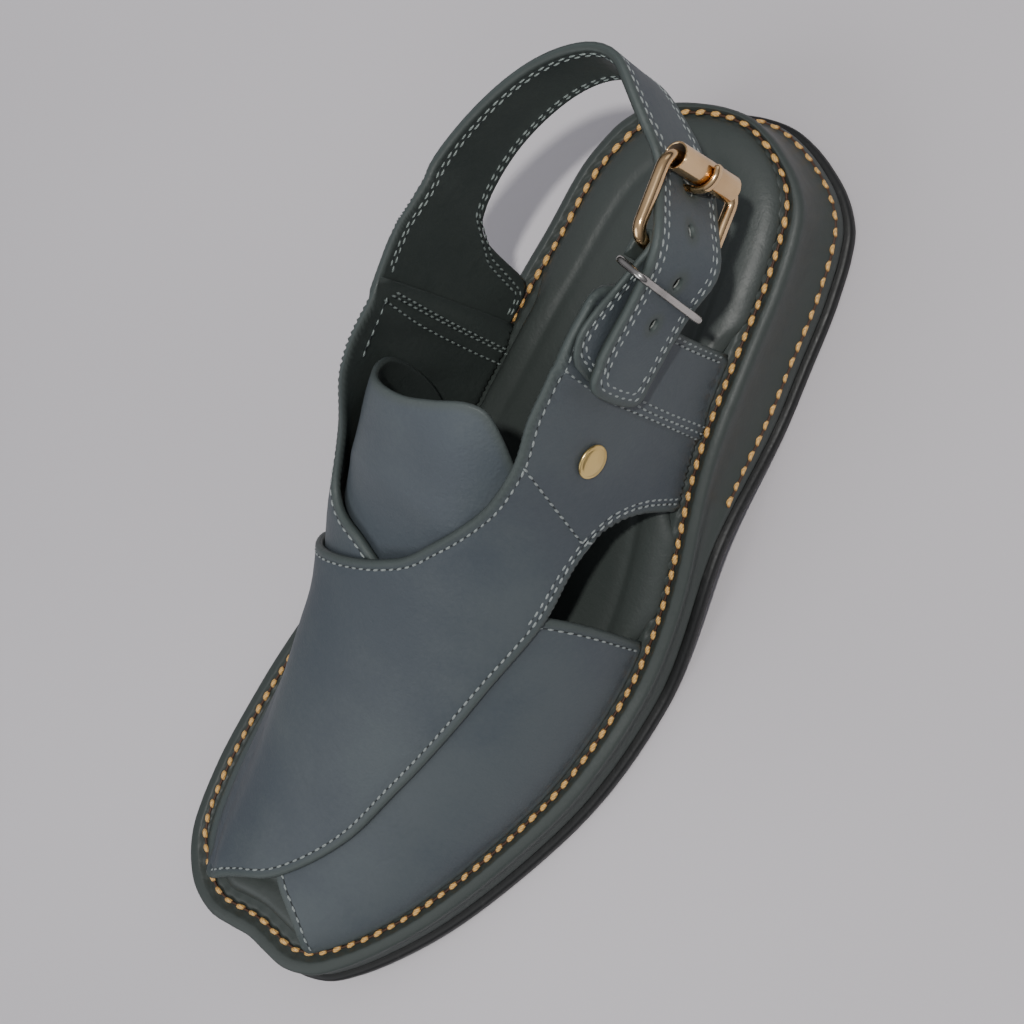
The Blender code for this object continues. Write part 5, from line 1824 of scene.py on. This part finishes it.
# %% The nodes of one stitch row
def stitch_tree():
    tree = Tree(
        "Stitch row",
        (
            ("Size", "NodeSocketVector"),
            ("Skew", "NodeSocketFloat"),
            ("Wobble", "NodeSocketFloat"),
            ("Under radius", "NodeSocketFloat"),
            ("Thread", "NodeSocketMaterial"),
            ("Under thread", "NodeSocketMaterial"),
        ),
    )
    start, add = tree.start, tree.add
    ball = add("GeometryNodeMeshUVSphere", {}, {"Segments": 12, "Rings": 8, "Radius": 1.0})
    lying = add("ShaderNodeVectorRotate", {"rotation_type": "Y_AXIS"}, {
        "Vector": add("GeometryNodeInputPosition"), "Angle": math.pi / 2,
    })
    ball = add("GeometryNodeSetPosition", {}, {"Geometry": ball, "Position": lying})
    where = add("GeometryNodeInputPosition")
    ball = add(
        "GeometryNodeStoreNamedAttribute",
        {"data_type": "FLOAT_VECTOR"},
        {"Geometry": ball, "Name": "grain", "Value": where},
    )
    parts = tree.group.nodes.new("ShaderNodeSeparateXYZ")
    tree.group.links.new(where, parts.inputs[0])
    squared = add("ShaderNodeMath", {"operation": "MULTIPLY"}, {0: parts.outputs["X"], 1: parts.outputs["X"]})
    drop = add("ShaderNodeMath", {"operation": "MULTIPLY"}, {0: squared, 1: -0.7})
    bent = add("ShaderNodeCombineXYZ", {}, {"Z": drop})
    ball = add("GeometryNodeSetPosition", {}, {"Geometry": ball, "Offset": bent})
    guide = add("GeometryNodeMeshToCurve", {}, {"Mesh": start["Geometry"]})
    out = add("GeometryNodeInputNamedAttribute", {"data_type": "FLOAT_VECTOR"}, {"Name": "out"})
    frame_turn = add(
        "FunctionNodeAxesToRotation",
        {"primary_axis": "X", "secondary_axis": "Z"},
        {"Primary Axis": add("GeometryNodeInputTangent"), "Secondary Axis": out},
    )
    wobble = add(
        "FunctionNodeRandomValue", {"data_type": "FLOAT"}, {"Min": -1.0, "Max": 1.0, "Seed": 4}, output=1
    )
    angle = add(
        "ShaderNodeMath",
        {"operation": "MULTIPLY_ADD"},
        {0: wobble, 1: start["Wobble"], 2: start["Skew"]},
    )
    own_turn = add("FunctionNodeAxisAngleToRotation", {}, {"Axis": (0.0, 0.0, 1.0), "Angle": angle})
    turn = add(
        "FunctionNodeRotateRotation",
        {"rotation_space": "LOCAL"},
        {"Rotation": frame_turn, "Rotate By": own_turn},
    )
    growth = add(
        "FunctionNodeRandomValue", {"data_type": "FLOAT"}, {"Min": 0.9, "Max": 1.08, "Seed": 9}, output=1
    )
    size = add("ShaderNodeVectorMath", {"operation": "SCALE"}, {"Vector": start["Size"], "Scale": growth})
    sewn = add(
        "GeometryNodeInstanceOnPoints",
        {},
        {"Points": guide, "Instance": ball, "Rotation": turn, "Scale": size},
    )
    sewn = add("GeometryNodeRealizeInstances", {}, {"Geometry": sewn})
    sewn = add("GeometryNodeSetMaterial", {}, {"Geometry": sewn, "Material": start["Thread"]})
    # A thin dark tube a little below the row: painted shade in the groove, and the welt's brown thread too.
    sunk = add("ShaderNodeVectorMath", {"operation": "SCALE"}, {"Vector": out, "Scale": -0.0002})
    lower = add("GeometryNodeSetPosition", {}, {"Geometry": guide, "Offset": sunk})
    round_line = add(
        "GeometryNodeCurvePrimitiveCircle", {}, {"Resolution": 6, "Radius": start["Under radius"]}
    )
    under = add("GeometryNodeCurveToMesh", {}, {"Curve": lower, "Profile Curve": round_line})
    under = add("GeometryNodeSetMaterial", {}, {"Geometry": under, "Material": start["Under thread"]})
    both = add("GeometryNodeJoinGeometry", {}, {"Geometry": [under, sewn]})
    smooth_all = add("GeometryNodeSetShadeSmooth", {}, {"Geometry": both})
    tree.group.links.new(smooth_all, tree.group.nodes.new("NodeGroupOutput").inputs[0])
    return tree


STITCH_TREE = stitch_tree()
print("nodes of the stitch tree:", len(STITCH_TREE.group.nodes))


# %% Rows of stitches
def sewn(name, rows, size, skew, wobble, under, finish, under_finish, slot):
    """A piece with a stitch on each point of the rows; a row is points, out directions, and closed or not."""
    points, outs, edges = [], [], []
    for line, out, closed in rows:
        first, count = len(points), len(line)
        points += [tuple(point) for point in np.asarray(line) + SHIFT]
        outs += [tuple(normal) for normal in np.broadcast_to(out, np.shape(line))]
        edges += [(first + i, first + (i + 1) % count) for i in range(count if closed else count - 1)]
    guide = bpy.data.meshes.new(name + "_guide")
    guide.from_pydata(points, edges, [])
    guide.attributes.new("out", "FLOAT_VECTOR", "POINT").data.foreach_set("vector", np.ravel(outs))
    made = bpy.data.objects.new(name, guide)
    bpy.context.scene.collection.objects.link(made)
    nodes = made.modifiers.new("Sewing", "NODES")
    nodes.node_group = STITCH_TREE.group
    chosen = {
        "Size": tuple(value / 2 for value in size),
        "Skew": math.radians(skew),
        "Wobble": math.radians(wobble),
        "Under radius": under,
        "Thread": finish,
        "Under thread": under_finish,
    }
    for label, value in chosen.items():
        nodes[STITCH_TREE.sockets[label]] = value
    bpy.context.view_layer.update()
    sewn_mesh = bpy.data.meshes.new_from_object(made.evaluated_get(bpy.context.evaluated_depsgraph_get()))
    made.modifiers.clear()
    made.data = sewn_mesh
    bpy.data.meshes.remove(guide)
    return settle(made, slot)


# %% Guide lines
# A guide keeps the points whose distance from the edge lies between these shares of its inset
NEAREST, FURTHEST = 0.93, 1.12


def row_on(surface, chart, lift, pitch, inside_face=False):
    """Stitch places on a leather's face from a chart line, one pitch apart."""
    base, normal = surface(chart)
    line = base + normal * np.broadcast_to(lift(chart) if callable(lift) else lift, len(chart))[:, None]
    run = np.concatenate([[0], np.cumsum(np.linalg.norm(np.diff(line, axis=0), axis=1))])
    wanted = np.linspace(0, run[-1], max(3, round(run[-1] / pitch)))
    line, normal = (
        np.stack([np.interp(wanted, run, part[:, i]) for i in range(3)], axis=1) for part in (line, normal)
    )
    return line, -normal if inside_face else normal, False


def beside(surface, outline, edge, inset):
    """The chart line that runs inside an edge of an outline, from the edge's first to its last point."""
    outline = outline if signed_area(outline) > 0 else outline[::-1]
    ring = inset_points(surface, outline, inset)
    ends = [int(np.argmin(np.linalg.norm(outline - place, axis=1))) for place in (edge[0], edge[-1])]
    middle = int(np.argmin(np.linalg.norm(outline - edge[len(edge) // 2], axis=1)))
    first, last = ends
    forward = (np.arange(first, first + len(ring) + 1) % len(ring))[: (last - first) % len(ring) + 1]
    if middle not in forward:
        forward = (np.arange(first, first - len(ring) - 1, -1) % len(ring))[: (first - last) % len(ring) + 1]
    line = ring[forward]
    away = distance_many(surface(line)[0], surface(outline)[0], closed=True)
    return line[away > NEAREST * inset]


def parallel(surface, outline, inset):
    """The places of an inset outline that lie neither nearer to its edge nor much further in."""
    ring = inset_points(surface, outline, inset)
    away = distance_many(surface(ring)[0], surface(outline)[0], closed=True)
    return ring[(away > NEAREST * inset) & (away < FURTHEST * inset)]

# %% [markdown]
# ## The rows of the photo
#
# The welt is sewn round the whole platform, a little under five millimetres to a stitch. A second row holds
# the flange round the heel. Fine rows follow the strap edges, double where two leathers are joined.

# %% Welt and flange rows
WELT_STITCH = (0.0036, 0.0016, 0.0014)
WELT_UNDER = 0.00042
# How far the row stands out along the inner side of the forefoot, and how deep it lies in its groove
WELT_SHIFT, WELT_LIFT, WELT_SUNK = 0.0012, 0.0002, 0.00035
share = WELT[:, 1] / STITCH_LENGTH + 0.5
inner_side = (WELT[:, 0] < 0) * smooth((share - 0.012) / 0.03) * smooth((0.46 - share) / 0.10)
sewn_line = WELT + np.stack(
    [-WELT_SHIFT * inner_side, 0 * share, WELT_LIFT * inner_side - WELT_SUNK], axis=1
)
welt_row = (spaced(sewn_line, WELT_COUNT, closed=True), (0, 0, 1.0), True)
sewn("welt_stitches", [welt_row], WELT_STITCH, 9, 6, WELT_UNDER, TAN_THREAD, BROWN_THREAD_AND_HOLE_SHADE, "sole_leather")

FLANGE_OUT, FLANGE_HEIGHT = 0.0066, 0.235
FLANGE_FROM_OUTER, FLANGE_FROM_INNER = 0.046, 0.040
ring = offset_ring(FLANGE_OUT)
low = outsole_top(ring[:, 1]) + GAP
ring = at_height(ring, low + FLANGE_HEIGHT * (platform_top(ring[:, 1]) - low))
outer_part = [i for i in range(RING_POINTS // 2) if ring[i, 1] > FLANGE_FROM_OUTER]
inner_part = [i for i in range(RING_POINTS // 2, RING_POINTS) if ring[i, 1] > FLANGE_FROM_INNER]
flange = curve_through(ring[inner_part + outer_part], steps=8)
flange = spaced(flange, round(np.linalg.norm(np.diff(flange, axis=0), axis=1).sum() / WELT_PITCH))
leaning = np.gradient(flange, axis=0)[:, [1, 0, 2]] * (1, -1, 0)
leaning = leaning / np.linalg.norm(leaning, axis=1, keepdims=True) + (0, 0, 0.9)
sewn(
    "flange_stitches", [(flange, leaning, False)], WELT_STITCH, 9, 6, WELT_UNDER, TAN_THREAD, BROWN_THREAD_AND_HOLE_SHADE,
    "sole_leather",
)

# %% Fine rows on the outer faces
FINE_STITCH = (0.0023, 0.00064, 0.00052)
FINE_UNDER, LINING_UNDER = 0.00022, 0.0002
SUNK = 0.0001
PITCH = 0.0030


def chart_line(places):
    return on_chart(places, 0.0012)


def on_edge(outline, edge, inset, lift):
    return row_on(last_frame, beside(last_frame, outline, on_chart(edge), inset), lift, PITCH)


SEAM_ROWS = (
    ((0.7293, 0.5601), (0.7253, 0.5932), (0.7175, 0.6822), (0.7138, 0.8159), (0.7086, 0.9826)),
    ((0.7234, 0.7521), (0.7208, 0.782), (0.7149, 0.9872)),
    ((0.7276, 0.7636), (0.7245, 0.8654), (0.7220, 0.9917)),
)
OVERLAY_ROW = ((0.6304, 0.4893), (0.6052, 0.5697), (0.5801, 0.6546), (0.5833, 0.6780))
outer_rows = [
    on_edge(TOP_REGION, TOP_STRAP_FRONT[1:], STITCH_INSET, top_outer),
    on_edge(TOP_REGION, TOP_STRAP_FRONT[9:], STITCH_INSET + 0.0014, top_outer),
    on_edge(TOP_REGION, TOP_STRAP_THROAT[:-1], STITCH_INSET, top_outer),
    on_edge(TOP_REGION, QUARTER_BACK[:5], 0.0014, top_outer),
    on_edge(TOP_REGION, QUARTER_BACK[:5], 0.0028, top_outer),
    on_edge(UNDER_REGION, UNDER_STRAP_TOE[1:], STITCH_INSET, under_outer),
    on_edge(UNDER_REGION, UNDER_STRAP_BACK[:3], STITCH_INSET, under_outer),
    on_edge(UNDER_REGION, UNDER_STRAP_BACK[4:], STITCH_INSET, under_outer),
]
outer_rows += [row_on(last_frame, chart_line(places), top_outer, PITCH) for places in SEAM_ROWS]
outer_rows.append(row_on(last_frame, on_chart(OVERLAY_ROW, 0.0012, curved=False), top_outer, PITCH))
sewn("upper_stitches", outer_rows, FINE_STITCH, 5, 5, FINE_UNDER, PALE_THREAD, PAINTED_GROOVE_SHADOW, "upper_leather")

# %% Rows on the linings
LINING_ROWS = (
    ((0.6867, -0.6313), (0.6738, -0.7404), (0.6665, -0.8655), (0.6622, -0.9949)),
    ((0.6867, -0.6313), (0.6574, -0.6192), (0.6287, -0.5988)),
    ((0.6975, -0.6600), (0.6869, -0.8135), (0.6798, -0.9865)),
    ((0.6936, -0.6500), (0.6845, -0.7874), (0.6750, -1.0)),
)
lining_rows = [row_on(last_frame, chart_line(places), -SUNK, PITCH, True) for places in LINING_ROWS]
for inset in (0.0024, 0.0040):
    ring = parallel(STRAP, STRAP_OUTLINE, inset)
    for share in (-1, 1):
        kept = (ring[:, 1] * share > 0) & (ring[:, 0] > 0.010) & (ring[:, 0] < STRAP.end - 0.012)
        lining_rows.append(row_on(STRAP, ring[kept], -SUNK, PITCH, True))
sewn("lining_stitches", lining_rows, FINE_STITCH, 5, 5, LINING_UNDER, DIM_THREAD, PAINTED_GROOVE_SHADOW, "lining")

# %% Rows on the heel strap and the small strap
strap_rows = []
for inset in (0.0024, 0.0041):
    ring = parallel(STRAP, STRAP_OUTLINE, inset)
    strap_rows.append(row_on(STRAP, ring[ring[:, 0] > 0.004], STRAP_WALL - SUNK, PITCH))
for inset in (0.0019, 0.0034):
    ring = inset_points(CHAPE, CHAPE_OUTLINE, inset)
    away = distance_many(CHAPE(ring)[0], CHAPE(CHAPE_OUTLINE)[0], closed=True)
    kept = (away > NEAREST * inset) & (ring[:, 0] < slot_start - 0.001)
    turns = -int(np.argmax(ring[:, 0]))
    ring = np.roll(ring, turns, axis=0)[np.roll(kept, turns)]
    strap_rows.append(row_on(CHAPE, ring, CHAPE_WALL, PITCH))
sewn("strap_stitches", strap_rows, FINE_STITCH, 5, 5, FINE_UNDER, PALE_THREAD, PAINTED_GROOVE_SHADOW, "upper_leather")

# %% [markdown]
# ## Camera, floor and light
#
# The camera stands where the photographer's stood relative to the shoe, turned about its own axis by the
# same angle, and looks down at a pale seamless floor. A crisp lamp high on the camera's side throws the
# strap's shadow on the footbed. Two wide soft panels and a pale sky fill the rest.

# %% Camera
AZIMUTH, ELEVATION, ROLL = math.radians(111.02), math.radians(61.17), math.radians(-78.94)
TARGET = np.array((-0.00585, 0.0095, 0.020)) + SHIFT
CAMERA_DISTANCE = 0.7265
SENSOR_WIDTH = 36
FOCAL_PIXELS, PICTURE_PIXELS = 2500, 1024
level = math.cos(ELEVATION)
back = np.array((math.sin(AZIMUTH) * level, -math.cos(AZIMUTH) * level, math.sin(ELEVATION)))
right = np.cross(-back, (0, 0, 1.0))
right /= np.linalg.norm(right)
up = np.cross(right, -back)
rolled_right = math.cos(ROLL) * right + math.sin(ROLL) * up
rolled_up = -math.sin(ROLL) * right + math.cos(ROLL) * up
camera_data = bpy.data.cameras.new("Camera")
camera = bpy.data.objects.new("Camera", camera_data)
bpy.context.scene.collection.objects.link(camera)
turned_to = Matrix([list(row) for row in np.stack([rolled_right, rolled_up, back], axis=1)]).to_4x4()
camera.matrix_world = Matrix.Translation(Vector(TARGET + back * CAMERA_DISTANCE)) @ turned_to
camera_data.sensor_width = SENSOR_WIDTH
camera_data.lens = SENSOR_WIDTH * FOCAL_PIXELS / PICTURE_PIXELS
bpy.context.scene.camera = camera
print("lens:", round(camera_data.lens, 1), "mm at", CAMERA_DISTANCE, "m")


# %% Floor
def pale_floor():
    made = Finish("Pale seamless floor", 0.75)
    place = made.place()
    cloud = made.noise(place, 3.0, 2.0, 0.5)
    clouded = made.between(cloud, 0.3, 0.7)
    made.set("Base Color", made.mix(clouded, (0.60, 0.575, 0.60), (0.66, 0.635, 0.66)))
    made.set("Normal", made.bump(made.noise(place, 900.0, 2.0), 0.03, 0.0002))
    return made.material


mesh = bpy.data.meshes.new("Floor")
mesh.from_pydata([(-3, -3, 0), (3, -3, 0), (3, 3, 0), (-3, 3, 0)], [], [(0, 1, 2, 3)])
mesh.materials.append(pale_floor())
floor = bpy.data.objects.new("Floor", mesh)
bpy.context.scene.collection.objects.link(floor)


# %% Lights
def panel(name, direction, distance, size, energy, tint):
    data = bpy.data.lights.new(name, "AREA")
    data.shape, data.size, data.energy, data.color = "DISK", size, energy, tint
    lamp = bpy.data.objects.new(name, data)
    bpy.context.scene.collection.objects.link(lamp)
    towards = Vector(direction).normalized()
    facing = towards.to_track_quat("Z", "Y").to_matrix().to_4x4()
    lamp.matrix_world = Matrix.Translation(towards * distance) @ facing


panel("Key", (0.32, 0.17, 0.93), 1.6, 0.06, 15.0, (1.0, 0.98, 0.95))
panel("Fill", (-0.25, -0.9, 0.75), 1.7, 1.2, 7.0, (0.95, 0.97, 1.0))
panel("Rim", (0.2, 1.0, 0.55), 1.8, 0.9, 1.5, (0.97, 0.98, 1.0))
world = bpy.data.worlds.new("Pale studio")
bpy.context.scene.world = world
world.use_nodes = True
sky = world.node_tree
where = sky.nodes.new("ShaderNodeTexCoord")
parts = sky.nodes.new("ShaderNodeSeparateXYZ")
ramp = sky.nodes.new("ShaderNodeValToRGB")
below, above = ramp.color_ramp.elements
below.color = (0.10, 0.10, 0.11, 1.0)
above.position = 0.75
above.color = (0.93, 0.93, 1.0, 1.0)
sky.links.new(where.outputs["Generated"], parts.inputs[0])
sky.links.new(parts.outputs["Z"], ramp.inputs[0])
sky.links.new(ramp.outputs["Color"], sky.nodes["Background"].inputs["Color"])
sky.nodes["Background"].inputs["Strength"].default_value = 0.46
print("lamps:", ", ".join(sorted(lamp.name for lamp in bpy.data.lights)))
